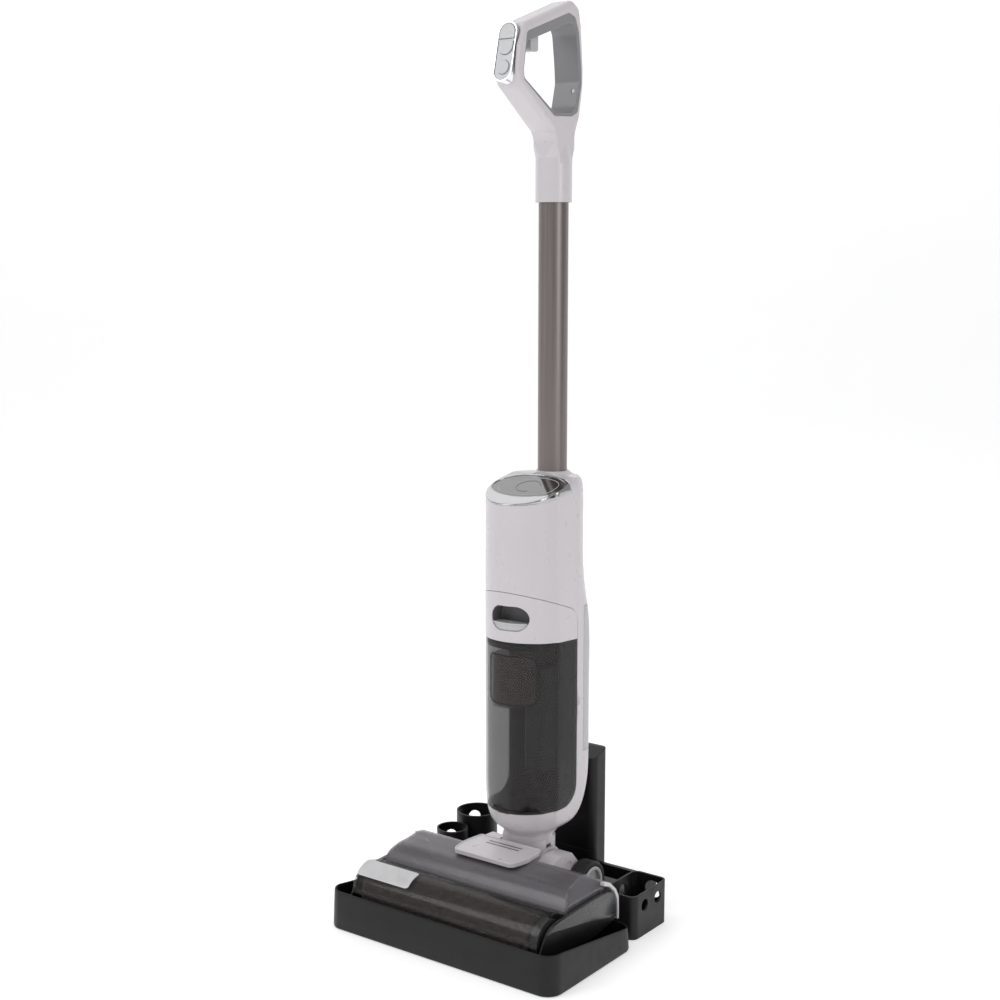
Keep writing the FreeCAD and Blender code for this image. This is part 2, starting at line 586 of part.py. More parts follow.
def body_section(z, half, front, back, corner, inset):
    """Closed wire of the body at one height: half an ellipse in front, rounded corners behind."""
    half, front, back, corner = half - inset, front - inset, back - inset, corner - inset
    corner = max(corner, 2)
    vector = FreeCAD.Vector
    angles = [math.radians(step * 15) for step in range(13)]
    front_curve = Part.BSplineCurve()
    front_curve.interpolate(Points=[vector(-half * math.cos(angle), -front * math.sin(angle), z)
                                    for angle in angles],
                            InitialTangent=vector(0, -front, 0), FinalTangent=vector(0, front, 0))
    front_edge = front_curve.toShape()
    middle = corner * (1 - math.sqrt(0.5))
    edges = [
        front_edge,
        Part.LineSegment(vector(half, 0, z), vector(half, back - corner, z)).toShape(),
        Part.Arc(vector(half, back - corner, z), vector(half - middle, back - middle, z),
                 vector(half - corner, back, z)).toShape(),
        Part.LineSegment(vector(half - corner, back, z), vector(corner - half, back, z)).toShape(),
        Part.Arc(vector(corner - half, back, z), vector(middle - half, back - middle, z),
                 vector(-half, back - corner, z)).toShape(),
        Part.LineSegment(vector(-half, back - corner, z), vector(-half, 0, z)).toShape(),
    ]
    return Part.Wire(edges)


def body_loft(inset, low=106, high=547):
    """The body's closed solid between two heights of the section table."""
    wires = [body_section(*row, inset) for row in BODY_SECTIONS if low <= row[0] <= high]
    return Part.makeLoft(wires, True, False)


def slab(y_low, y_high, z_low, z_high):
    return Part.makeBox(200, y_high - y_low, z_high - z_low, FreeCAD.Vector(-100, y_low, z_low))


def above_split(offset):
    """Everything above the inclined joint between tank and motor housing, moved up by offset.

    Near the side seam the joint bends down and dies into the seam.
    """
    vector = FreeCAD.Vector
    seam = size("seam_y")
    rise = math.tan(math.radians(size("split_slope")))
    start, bend = [vector(0, y, size("split_z") + offset - y * rise) for y in (-120, seam - 15)]
    drop = Part.BSplineCurve()
    drop.interpolate(Points=[bend, vector(0, seam - 6, 384 + offset), vector(0, seam - 1.8, 375.5 + offset),
                             vector(0, seam + 0.6, 363 + offset)],
                     InitialTangent=vector(0, 1, -rise), FinalTangent=vector(0, 0, -1))
    foot, corner = vector(0, 120, 363 + offset), vector(0, 120, 700)
    edges = [Part.LineSegment(start, bend).toShape(), drop.toShape(),
             Part.LineSegment(vector(0, seam + 0.6, 363 + offset), foot).toShape(),
             Part.LineSegment(foot, corner).toShape(),
             Part.LineSegment(corner, vector(0, -120, 700)).toShape(),
             Part.LineSegment(vector(0, -120, 700), start).toShape()]
    solid = Part.Face(Part.Wire(edges)).extrude(vector(200, 0, 0))
    solid.translate(vector(-100, 0, 0))
    return solid


def above_lid(offset):
    """Everything above the joint between tank and collar, which falls a little to the rear."""
    fall = math.tan(math.radians(size("lid_slope")))
    line = [(y, size("tank_top") + offset - y * fall) for y in (-120, 120)]
    solid = yz_face(line + [(120, 700), (-120, 700)]).extrude(FreeCAD.Vector(200, 0, 0))
    solid.translate(FreeCAD.Vector(-100, 0, 0))
    return solid


def hinge_bead(grow):
    """The round bead under the tank's front lip, on which it tips out of the bowl."""
    start = FreeCAD.Vector(-8 - grow, size("bead_y"), size("rim_front") + size("seam_gap") / 2)
    return Part.makeCylinder(size("bead_radius") + grow, 16 + 2 * grow, start, FreeCAD.Vector(1, 0, 0))


def above_rim(offset):
    """Everything above the bowl's rim, which runs level in front and climbs at the sides."""
    radius = size("rim_radius") - offset
    centre_y = size("seam_y") - size("rim_radius")
    centre_z = size("rim_front") + size("rim_radius")
    vector = FreeCAD.Vector
    level = centre_z - radius
    turn = radius * math.sqrt(0.5)
    edges = [
        Part.LineSegment(vector(0, -120, level), vector(0, centre_y, level)).toShape(),
        Part.Arc(vector(0, centre_y, level), vector(0, centre_y + turn, centre_z - turn),
                 vector(0, centre_y + radius, centre_z)).toShape(),
        Part.LineSegment(vector(0, centre_y + radius, centre_z), vector(0, centre_y + radius, 700)).toShape(),
        Part.LineSegment(vector(0, centre_y + radius, 700), vector(0, -120, 700)).toShape(),
        Part.LineSegment(vector(0, -120, 700), vector(0, -120, level)).toShape(),
    ]
    solid = Part.Face(Part.Wire(edges)).extrude(FreeCAD.Vector(200, 0, 0))
    solid.translate(FreeCAD.Vector(-100, 0, 0))
    return solid


def above_glass(offset):
    """Everything above the tilted display plane."""
    rise = math.tan(math.radians(size("glass_tilt")))
    line = [(y, size("glass_z") + offset + (y - size("glass_y")) * rise) for y in (-120, 120)]
    solid = yz_face(line + [(120, 700), (-120, 700)]).extrude(FreeCAD.Vector(200, 0, 0))
    solid.translate(FreeCAD.Vector(-100, 0, 0))
    return solid


def rear_shell():
    """Spine, bowl and tube collar in one white moulding."""
    wall = size("shell_wall")
    seam = size("seam_y")
    collar = Part.makeCylinder(size("collar_radius"), size("collar_top") - 530,
                               FreeCAD.Vector(0, size("tube_y"), 530))
    flare = Part.makeCone(27, size("collar_radius"), 5, FreeCAD.Vector(0, size("tube_y"), 545.5))
    collar = collar.fuse(flare).common(slab(seam, 120, 520, 560))
    solid = body_loft(0).cut(above_rim(0))
    solid = solid.cut(above_glass(0).common(slab(-120, 31, 480, 700))).fuse(collar)
    front_wall = above_rim(-size("partition")).cut(slab(seam - 1, 120, 402, 517))
    cavity = body_loft(wall, 112).common(slab(-120, 120, 114, 520)).cut(front_wall)
    clean_bay = slab(size("clean_front") - 0.4, 120, size("clean_bottom") - 0.4, size("clean_top") + 0.4)
    bay_wall = slab(size("clean_front") - 0.4 - wall, 120, size("clean_bottom") - 3, size("clean_top") + 3)
    solid = solid.cut(cavity.cut(bay_wall)).cut(clean_bay)
    hose = Part.makeCylinder(size("hose_radius") + 0.4, 80, FreeCAD.Vector(0, 0, 90))
    tube = Part.makeCylinder(size("tube_radius") + 0.02, 100, FreeCAD.Vector(0, size("tube_y"), 495))
    solid = solid.cut(hose).cut(tube).cut(ring_solid(0.1)).cut(hinge_bead(0.3))
    node(feature(solid), "rear_shell")


def front_housing():
    """White motor housing over the tank, up to the display ring."""
    wall = size("shell_wall")
    zone = slab(-120, size("seam_y") - 0.05, 300, 700)
    solid = body_loft(0, 290).common(zone).common(above_split(size("seam_gap") / 2))
    solid = solid.cut(above_glass(0))
    cavity = body_loft(wall, 350).common(above_split(4)).cut(above_chrome(-3))
    port = Part.makeCylinder(14, 60, FreeCAD.Vector(0, -14, 380))
    node(feature(solid.cut(cavity).cut(port).cut(ring_solid(0.1))), "front_housing")


def tanks():
    """Dirty-water tank with its collar, and the clean-water tank in the spine's back."""
    wall = size("shell_wall")
    gap = size("seam_gap")
    front = slab(-120, size("seam_y") - gap, 100, 700)
    solid = body_loft(0).common(front).common(above_rim(gap))
    inner = body_loft(wall, 112).common(slab(-120, size("seam_y") - gap - wall, 100, 700))
    inner = inner.common(above_rim(gap + wall))
    riser_foot = size("rim_front") + gap + 1
    riser = Part.makeCylinder(12, 262 - riser_foot, FreeCAD.Vector(-14, -2, riser_foot))
    riser_bore = Part.makeCylinder(10, 130, FreeCAD.Vector(-14, -2, riser_foot - 5))
    tank = solid.cut(above_lid(0)).cut(inner).fuse(riser).fuse(hinge_bead(0)).cut(riser_bore)
    node(feature(tank), "dirty_tank")
    collar = solid.common(above_lid(0.02)).cut(above_split(-gap / 2))
    hollow = inner.common(slab(-120, 120, 340, size("grip_z") - size("grip_radius") - 3))
    air_way = Part.makeCylinder(12, 70, FreeCAD.Vector(0, -14, 350))
    node(feature(collar.cut(hollow).cut(air_way).cut(grip_slot(0, -70, -33))), "tank_collar")
    bay = slab(size("clean_front"), 120, size("clean_bottom"), size("clean_top"))
    clean = body_loft(0, 165, 425).common(bay)
    inside = body_loft(2, 165, 425).common(slab(size("clean_front") + 2, 120, size("clean_bottom") + 2,
                                                size("clean_top") - 2))
    neck_hole = Part.makeCylinder(9, 12, FreeCAD.Vector(0, 60, 360), FreeCAD.Vector(0, 1, 0))
    node(feature(clean.cut(inside).cut(neck_hole)), "clean_tank")


def rounded_slot(x_low, x_high, z, radius, y_low, y_high):
    """A level slot with round ends, cut along Y."""
    vector = FreeCAD.Vector
    edges = [
        Part.LineSegment(vector(x_low, y_low, z + radius), vector(x_high, y_low, z + radius)).toShape(),
        Part.Arc(vector(x_high, y_low, z + radius), vector(x_high + radius, y_low, z),
                 vector(x_high, y_low, z - radius)).toShape(),
        Part.LineSegment(vector(x_high, y_low, z - radius), vector(x_low, y_low, z - radius)).toShape(),
        Part.Arc(vector(x_low, y_low, z - radius), vector(x_low - radius, y_low, z),
                 vector(x_low, y_low, z + radius)).toShape(),
    ]
    return Part.Face(Part.Wire(edges)).extrude(vector(0, y_high - y_low, 0))


def grip_slot(inset, y_low, y_high):
    """The grip recess's round-ended outline, a little right of the centre plane."""
    return rounded_slot(-2, 17, size("grip_z"), size("grip_radius") - inset, y_low, y_high)


def tank_details():
    """Release plate in the grip, lid seal, strainer and float cage inside the dirty tank."""
    low = size("grip_z") - size("grip_radius")
    plate = grip_slot(0.4, -60, -38).common(body_loft(1.4, 290, 425)).common(slab(-120, 120, low, low + 8.6))
    node(feature(plate), "tank_release")
    seal = body_loft(2.7, 290, 400).cut(body_loft(6.5, 290, 400))
    seal = seal.common(slab(-120, size("seam_y") - 4, 349, 353))
    seal_front = Part.makeBox(88, 3, 4, FreeCAD.Vector(-44, size("seam_y") - 7, 349))
    node(feature(seal.fuse(seal_front)), "tank_seal")
    cage = rounded_box(("-24", "-46", "270"), ("6", "-16", "336"), "6")
    cage_in = rounded_box(("-22.5", "-44.5", "271.5"), ("4.5", "-17.5", "337"), "4.5")
    node(cut(cage, cage_in), "float_cage")
    node(rod("Z", "11", "276", "300", "-9", "-31"), "float_ball")
    strainer = rounded_box(("8", "-24", "190"), ("36", "16", "318"), "6")
    strainer_in = rounded_box(("10", "-22", "192"), ("34", "14", "319"), "4")
    node(cut(strainer, strainer_in), "tank_strainer")
    cap = fuse(rod("Y", "12", "body_back + 0.05", "body_back + 2", "0", "360"),
               rod("Y", "8.95", "body_back - 6", "body_back + 0.05", "0", "360"))
    node(cap, "clean_tank_cap")


def display_frame():
    """Placement of the display: its Z points out of the glass."""
    turn = FreeCAD.Rotation(FreeCAD.Vector(1, 0, 0), size("glass_tilt"))
    return FreeCAD.Placement(FreeCAD.Vector(0, size("glass_y"), size("glass_z")), turn)


def oval_wire(half, depth, shift, height):
    """An ellipse parallel to the display's glass."""
    wire = Part.Wire([Part.Ellipse(FreeCAD.Vector(), max(half, depth), min(half, depth)).toShape()])
    wire.Placement = display_frame().multiply(FreeCAD.Placement(FreeCAD.Vector(0, shift, height),
                                                                FreeCAD.Rotation()))
    return wire


def oval_plate(half, depth, low, high):
    """A flat oval plate between two heights over the display plane."""
    up = display_frame().Rotation.multVec(FreeCAD.Vector(0, 0, high - low))
    return Part.Face(oval_wire(half, depth, 0, low)).extrude(up)


def above_chrome(offset):
    """Everything above the plane of the chrome ring's lower edge, which tilts less than the glass."""
    line = [(y, size("chrome_z") + offset + y * size("chrome_rise")) for y in (-120, 120)]
    solid = yz_face(line + [(120, 700), (-120, 700)]).extrude(FreeCAD.Vector(200, 0, 0))
    solid.translate(FreeCAD.Vector(-100, 0, 0))
    return solid


def ring_solid(grow):
    """Outside of the chrome ring: the top slice of the body, broad in front and ending behind the glass."""
    top = body_loft(-grow, 470).common(above_chrome(-grow)).cut(above_glass(size("ring_proud") + grow))
    behind = oval_plate(size("glass_half") + 9 + grow, glass_length() + 1.2 + grow, -30, 10)
    return top.common(behind.fuse(slab(-120, 6, 480, 700)))


def glass_length():
    """Half the glass's length along the tilted plane."""
    return size("glass_depth") / math.cos(math.radians(size("glass_tilt")))


def display():
    """Oval glass, tilted forward, in its chrome ring."""
    half, depth = size("glass_half"), glass_length()
    seat = oval_plate(half, depth, -2.4, 6)
    well = oval_plate(half - 3, depth - 3, -20, 10)
    tube_room = Part.makeCylinder(size("tube_radius") + 0.3, 100, FreeCAD.Vector(0, size("tube_y"), 495))
    node(feature(ring_solid(0).cut(seat).cut(well).cut(tube_room)), "display_ring")
    node(feature(oval_plate(half, depth, -2.4, 0)), "display_glass")


def inside_parts():
    """What the body holds: motor, filter, battery, board and pump."""
    motor = fuse(rod("Z", "33", "424", "462", "0", "-14"), rod("Z", "24", "462", "480", "0", "-14"))
    node(motor, "suction_motor")
    node(cut(rod("Z", "28", "416", "423.5", "0", "-14"), rod("Z", "12", "415", "424", "0", "-14")), "motor_filter")
    node(block(("-29", "31.5", "406"), ("29", "57", "478")), "battery_pack")
    node(block(("-32", "-40", "488"), ("32", "18", "489.6")), "control_board")
    node(block(("-20", "31.5", "176"), ("20", "60", "200")), "water_pump")


def tube():
    node(cut(rod("Z", "tube_radius", "tube_foot", "tube_end", "0", "tube_y"),
             rod("Z", "tube_radius - tube_wall", "tube_foot - 1", "tube_end + 1", "0", "tube_y")), "main_tube")


# ---------------------------------------------------------------- handle

LOOP_OUTLINE = [(25, 905), (25, 950), (-45, 1001), (-53.5, 1016), (-49.5, 1045), (-38, 1070.5),
                (62, 1107.5), (76, 1100), (81, 1078), (85.5, 1030), (85, 1008), (78, 972), (69, 952), (69, 905)]
HOLE_OUTLINE = [(-38.7, 1008.4), (-40, 1018.6), (-33.2, 1061.6), (50.7, 1091.3), (64.8, 1087.5),
                (72.1, 1070), (76.9, 1035.1), (78.6, 1013.6), (70, 979), (57.8, 973.3), (21.6, 971.7)]
WINDOW_OUTLINE = [(-37.2, 1010.2), (-38.4, 1018.6), (-33, 1050.5), (53, 1080.3), (62, 1078), (67.2, 1069),
                  (71.9, 1035), (73.6, 1014), (65.5, 982), (56.9, 977.3), (23, 975.4)]


def loop_solid(face, half):
    solid = face.extrude(FreeCAD.Vector(2 * half, 0, 0))
    solid.translate(FreeCAD.Vector(-half, 0, 0))
    return solid


def end_edges(solid, half):
    """The edges that lie in the two end planes of an extruded outline."""
    picked = []
    for edge in solid.Edges:
        if all(abs(abs(vertex.Point.x) - half) < 1e-4 for vertex in edge.Vertexes):
            if abs(edge.Vertexes[0].Point.x - edge.Vertexes[-1].Point.x) < 1e-4:
                picked.append(edge)
    return picked


def lengthways(solid):
    """The edges of an extruded outline that run along X."""
    return [edge for edge in solid.Edges if abs(edge.tangentAt(edge.FirstParameter).x) > 0.99]


def neck_bound():
    """What the loop may fill: the socket's cylinder, two widening cones above it, and all of the grip."""
    stations = [("socket_foot", 22), ("blend_z", 22), ("cone_z", 28.5), ("grip_foot", 98)]
    bound = slab(-120, 160, size("grip_foot") - 0.1, 1200)
    for (low, foot), (high, top) in zip(stations, stations[1:]):
        height = size(high) - size(low)
        centre = FreeCAD.Vector(0, size("tube_y"), size(low))
        piece = Part.makeCylinder(foot, height, centre) if foot == top else Part.makeCone(foot, top, height, centre)
        bound = bound.fuse(piece)
    return bound


def rounded_lengthways(solid, radii):
    """Fillets along X; radii are (radius, test of an edge's point), the first that fits an edge."""
    groups = [[] for _ in radii]
    for edge in lengthways(solid):
        point = edge.Vertexes[0].Point
        for group, (radius, fits) in zip(groups, radii):
            if fits(point):
                group.append((point.y, point.z))
                break
    for group, (radius, fits) in zip(groups, radii):
        edges = [edge for edge in lengthways(solid)
                 if any(math.hypot(edge.Vertexes[0].Point.y - y, edge.Vertexes[0].Point.z - z) < 1e-4
                        for y, z in group)]
        if edges:
            solid = solid.makeFillet(radius, edges)
    return solid


def handle():
    """White loop on its socket and the grey lining round the inside of the grip."""
    half = size("loop_half")
    outline = loop_solid(yz_face(LOOP_OUTLINE), half)
    outline = rounded_lengthways(outline, [(8, lambda p: p.z > 1090), (10, lambda p: p.z > 1060 and p.y < 0),
                                           (18, lambda p: p.z > 945)])
    outline = outline.makeFillet(7.5, end_edges(outline, half)).common(neck_bound())
    foot = FreeCAD.Vector(0, size("tube_y"), size("socket_foot"))
    straight, taper = 44, 32
    socket = Part.makeCylinder(size("socket_radius"), straight, foot)
    shoulder = Part.makeCone(size("socket_radius"), half - 1, taper, foot + FreeCAD.Vector(0, 0, straight))
    hole = loop_solid(yz_face(HOLE_OUTLINE), half + 1)
    hole = hole.makeFillet(6, lengthways(hole))
    bore = Part.makeCylinder(size("tube_radius") + 0.02, 33, foot - FreeCAD.Vector(0, 0, 1))
    shell = outline.fuse(socket).fuse(shoulder).removeSplitter().cut(hole).cut(bore)
    groove = pod_slot(size("pod_half") + 1.3, size("pod_length") + 1.3, -2.5, 9)
    node(feature(shell.cut(groove).cut(pod_solid(0.02, 9))), "handle_shell")
    lining_half = size("lining_half")
    ring = hole.common(Part.makeBox(2 * lining_half, 300, 300, FreeCAD.Vector(-lining_half, -100, 900)))
    window = loop_solid(yz_face(WINDOW_OUTLINE), half + 1)
    window = rounded_lengthways(window, [(14, lambda p: p.y > 65 and p.z < 1072), (4, lambda p: True)])
    slot = Part.makeBox(13, 16, 19.5, FreeCAD.Vector(-6.5, -10, 1050))
    screw_at = FreeCAD.Vector(10, 64, 1004)
    rearwards = FreeCAD.Vector(0, 1, 0)
    ring = ring.cut(window).cut(slot).cut(Part.makeCylinder(2.6, 11, screw_at, rearwards))
    node(feature(ring), "grip_lining")
    node(feature(Part.makeCylinder(2.55, 2.8, screw_at + FreeCAD.Vector(0, 8, 0), rearwards)), "handle_screws")
    tab = Part.makeBox(12, 15, 21, FreeCAD.Vector(-6, -9.5, 1043))
    tab = tab.makeFillet(4, [edge for edge in tab.Edges if abs(edge.Vertexes[0].Point.z - 1043) < 1e-6
                             and abs(edge.Vertexes[1].Point.z - 1043) < 1e-6
                             and abs(edge.Vertexes[0].Point.y - edge.Vertexes[1].Point.y) < 1e-6])
    node(feature(tab), "trigger")


def pod_frame():
    """Placement of the control pod: its Z points out of the pod, its Y up the handle."""
    turn = FreeCAD.Rotation(FreeCAD.Vector(1, 0, 0), 90 - size("pod_tilt"))
    return FreeCAD.Placement(FreeCAD.Vector(0, size("pod_y"), size("pod_z")), turn)


def pod_slot(half_width, half_length, low, high):
    """A round-ended plate in the pod's own frame."""
    reach = half_length - half_width
    vector = FreeCAD.Vector
    edges = [
        Part.LineSegment(vector(half_width, -reach, low), vector(half_width, reach, low)).toShape(),
        Part.Arc(vector(half_width, reach, low), vector(0, half_length, low), vector(-half_width, reach, low)).toShape(),
        Part.LineSegment(vector(-half_width, reach, low), vector(-half_width, -reach, low)).toShape(),
        Part.Arc(vector(-half_width, -reach, low), vector(0, -half_length, low), vector(half_width, -reach, low)).toShape(),
    ]
    solid = Part.Face(Part.Wire(edges)).extrude(vector(0, 0, high - low))
    solid.Placement = pod_frame()
    return solid


def pod_solid(grow, high):
    return pod_slot(size("pod_half") + grow, size("pod_length") + grow, -7.2 - grow, high)


def pod_disc(offset, radius, low, high):
    disc = Part.makeCylinder(radius, high - low, FreeCAD.Vector(0, offset, low))
    disc.Placement = pod_frame()
    return disc


def pod_bar(half_width, low_v, high_v, low, high):
    """A rectangular plate in the pod's own frame, between two heights up the handle."""
    bar = Part.makeBox(2 * half_width, high_v - low_v, high - low, FreeCAD.Vector(-half_width, low_v, low))
    bar.Placement = pod_frame()
    return bar


def pod_button(name, grow, low, high):
    """A button's solid: half-round on top, flat-topped in the middle, or round at the bottom."""
    if name == "button_power":
        return pod_slot(10.4 + grow, 32 + grow, low, high).common(pod_bar(20, 15 - grow, 40, low - 1, high + 1))
    if name == "button_mode":
        upper = pod_bar(9.6 + grow, 6.1, 11.5 + grow, low, high)
        whole = pod_disc(6.1, 9.6 + grow, low, high).fuse(upper).removeSplitter()
        return whole.common(pod_bar(20, -20, 11.5 + grow, low - 1, high + 1))
    return pod_disc(-18, 8 + grow, low, high)


def pod():
    """Control pod: thin bright rim, grey panel, and three sprung buttons."""
    half, length = size("pod_half"), size("pod_length")
    rim = pod_solid(0, 4).cut(pod_slot(half - 1.2, length - 1.2, -6, 9))
    panel = pod_slot(half - 1.3, length - 1.3, -5.95, 2.9)
    for name in ("button_power", "button_mode", "button_clean"):
        panel = panel.cut(pod_button(name, size("button_gap"), -2.6, 9))
        node(feature(pod_button(name, 0, -0.4, 4.4)), name)
    node(feature(rim), "pod_rim")
    node(feature(panel), "pod_panel")


for build in (dock_tray, dock_base, dock_post, cups, basket, head_chassis, head_housing, pivots, wheels,
              roller, drive, head_details, roller_cover, cover_latch, neck, rear_shell, front_housing, tanks,
              tank_details, display, inside_parts, tube, handle, pod):
    build()
side_plate("side_plate_right", 1)
side_plate("side_plate_left", -1)
doc.recompute()

# ---------------------------------------------------------------- check and export

faulty = [obj.Label for obj in doc.Objects if {"Invalid", "Error"} & set(obj.State)]
faulty += [name for name, obj in NODES.items() if obj.Shape.isNull() or not obj.Shape.isValid()]
if faulty:
    raise RuntimeError("not built: " + ", ".join(faulty))
os.makedirs("parts", exist_ok=True)
for name, obj in NODES.items():
    obj.Shape.exportStep("parts/%s.step" % name)
    box = obj.Shape.BoundBox
    print("%-18s %d solid  %8.1f cm3  x %.1f..%.1f  y %.1f..%.1f  z %.1f..%.1f" % (
        name, len(obj.Shape.Solids), obj.Shape.Volume / 1000, box.XMin, box.XMax, box.YMin, box.YMax,
        box.ZMin, box.ZMax))
print(len(NODES), "nodes")
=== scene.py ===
import math

import bmesh
import bpy
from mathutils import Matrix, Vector, noise


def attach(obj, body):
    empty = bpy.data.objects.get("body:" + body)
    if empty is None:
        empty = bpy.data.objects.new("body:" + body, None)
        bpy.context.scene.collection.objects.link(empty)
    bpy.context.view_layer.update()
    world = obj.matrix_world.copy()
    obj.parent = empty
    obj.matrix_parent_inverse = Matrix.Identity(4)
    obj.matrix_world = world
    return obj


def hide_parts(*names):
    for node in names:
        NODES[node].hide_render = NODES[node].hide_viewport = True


# Wet dry floor scrubber in its dock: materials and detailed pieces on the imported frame. Metres.
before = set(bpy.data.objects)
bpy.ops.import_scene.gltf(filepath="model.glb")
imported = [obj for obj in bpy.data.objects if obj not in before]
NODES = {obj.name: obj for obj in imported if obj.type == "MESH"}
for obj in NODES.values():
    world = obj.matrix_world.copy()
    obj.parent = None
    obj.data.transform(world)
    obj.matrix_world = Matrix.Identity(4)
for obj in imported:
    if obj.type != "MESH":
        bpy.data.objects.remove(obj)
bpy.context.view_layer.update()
MM = 0.001

# ---------------------------------------------------------------- materials


class Paint:
    """A Principled material that is built up from a few procedural layers."""

    def __init__(self, name, color, rough, **fixed):
        self.material = bpy.data.materials.new(name)
        self.material.use_nodes = True
        self.tree = self.material.node_tree
        self.shader = self.tree.nodes["Principled BSDF"]
        self.shader.inputs["Base Color"].default_value = (*color, 1)
        self.shader.inputs["Roughness"].default_value = rough
        for socket, value in fixed.items():
            self.shader.inputs[socket.replace("_", " ")].default_value = value
        self.where = self.add("ShaderNodeTexCoord").outputs["Object"]
        self.normal = None
        self.color = color

    def add(self, kind, **settings):
        made = self.tree.nodes.new(kind)
        for key, value in settings.items():
            setattr(made, key, value)
        return made

    def link(self, source, target):
        self.tree.links.new(source, target)

    def stretch(self, scale):
        """Object coordinates scaled by axis."""
        mapping = self.add("ShaderNodeMapping")
        mapping.inputs["Scale"].default_value = scale
        self.link(self.where, mapping.inputs["Vector"])
        return mapping.outputs["Vector"]

    def noise(self, scale, detail=2.0, rough=0.5, vector=None):
        made = self.add("ShaderNodeTexNoise")
        made.inputs["Scale"].default_value = scale
        made.inputs["Detail"].default_value = detail
        made.inputs["Roughness"].default_value = rough
        self.link(vector or self.where, made.inputs["Vector"])
        return made.outputs["Fac"]

    def cells(self, scale):
        made = self.add("ShaderNodeTexVoronoi", feature="F1")
        made.inputs["Scale"].default_value = scale
        self.link(self.where, made.inputs["Vector"])
        return made.outputs["Distance"]

    def span(self, value, low, high, out_low=0.0, out_high=1.0):
        made = self.add("ShaderNodeMapRange", clamp=True)
        sockets = ("From Min", "From Max", "To Min", "To Max")
        for socket, number in zip(sockets, (low, high, out_low, out_high)):
            made.inputs[socket].default_value = number
        self.link(value, made.inputs["Value"])
        return made.outputs["Result"]

    def math(self, operation, first, second=None):
        made = self.add("ShaderNodeMath", operation=operation)
        for socket, value in zip(made.inputs, (first, second)):
            if value is None:
                continue
            if isinstance(value, (int, float)):
                socket.default_value = value
            else:
                self.link(value, socket)
        return made.outputs["Value"]

    def mix(self, fac, first, second):
        """Mix two colours, each a tuple or an output."""
        made = self.add("ShaderNodeMix", data_type="RGBA")
        self.link(fac, made.inputs["Factor"])
        for key, value in (("A", first), ("B", second)):
            socket = [s for s in made.inputs if s.name == key and s.type == "RGBA"][0]
            if isinstance(value, tuple):
                socket.default_value = (*value, 1)
            else:
                self.link(value, socket)
        return [s for s in made.outputs if s.type == "RGBA"][0]

    def paint(self, output):
        self.color = output
        self.link(output, self.shader.inputs["Base Color"])
        return self

    def tone(self, scale, amount, detail=3.0):
        """Soft variation of the base colour by a share of itself."""
        darker = tuple(c * (1 - amount) for c in self.color)
        lighter = tuple(min(1, c * (1 + amount)) for c in self.color)
        return self.paint(self.mix(self.span(self.noise(scale, detail), 0.35, 0.65), darker, lighter))

    def haze(self, scale, low, high, detail=3.0):
        """Roughness that wanders between low and high."""
        fac = self.noise(scale, detail)
        self.link(self.span(fac, 0.3, 0.7, low, high), self.shader.inputs["Roughness"])
        return self

    def round_edges(self, radius, samples=4):
        bevel = self.add("ShaderNodeBevel", samples=samples)
        bevel.inputs["Radius"].default_value = radius
        self.normal = bevel.outputs["Normal"]
        self.link(self.normal, self.shader.inputs["Normal"])
        return self

    def wear_and_rim_highlight(self, lighter, amount=0.5):
        """Edges painted lighter where the rounded normal leaves the true one: partly rubbed wear, partly
        painted highlight for the light that rounded rims catch.
        """
        geometry = self.add("ShaderNodeNewGeometry")
        dot = self.add("ShaderNodeVectorMath", operation="DOT_PRODUCT")
        self.link(self.normal, dot.inputs[0])
        self.link(geometry.outputs["Normal"], dot.inputs[1])
        edge = self.span(dot.outputs["Value"], 0.995, 0.85, 0.0, amount)
        base = self.color if not isinstance(self.color, tuple) else tuple(self.color)
        return self.paint(self.mix(edge, base, lighter))

    def bump(self, height, strength, distance):
        made = self.add("ShaderNodeBump")
        made.inputs["Strength"].default_value = strength
        made.inputs["Distance"].default_value = distance
        self.link(height, made.inputs["Height"])
        if self.normal is not None:
            self.link(self.normal, made.inputs["Normal"])
        self.normal = made.outputs["Normal"]
        self.link(self.normal, self.shader.inputs["Normal"])
        return self


def moulded(name, color, rough, grain, edge=0.0009, wear_and_rim_highlight=None, tone=0.015, **fixed):
    """Moulded plastic: faint colour drift, satin haze, eroded grain and softened edges, and when given a
    colour, edges painted lighter: partly wear, partly painted highlight on the rims.
    """
    paint = Paint(name, color, rough, **fixed)
    paint.round_edges(edge)
    paint.tone(9, tone)
    paint.haze(60, rough * 0.88, rough * 1.14)
    # Lighter edges: partly wear, partly painted highlight on the rims.
    if wear_and_rim_highlight:
        paint.wear_and_rim_highlight(wear_and_rim_highlight)
    paint.bump(paint.noise(1500, 2), grain, 0.0002)
    return paint


M = {}


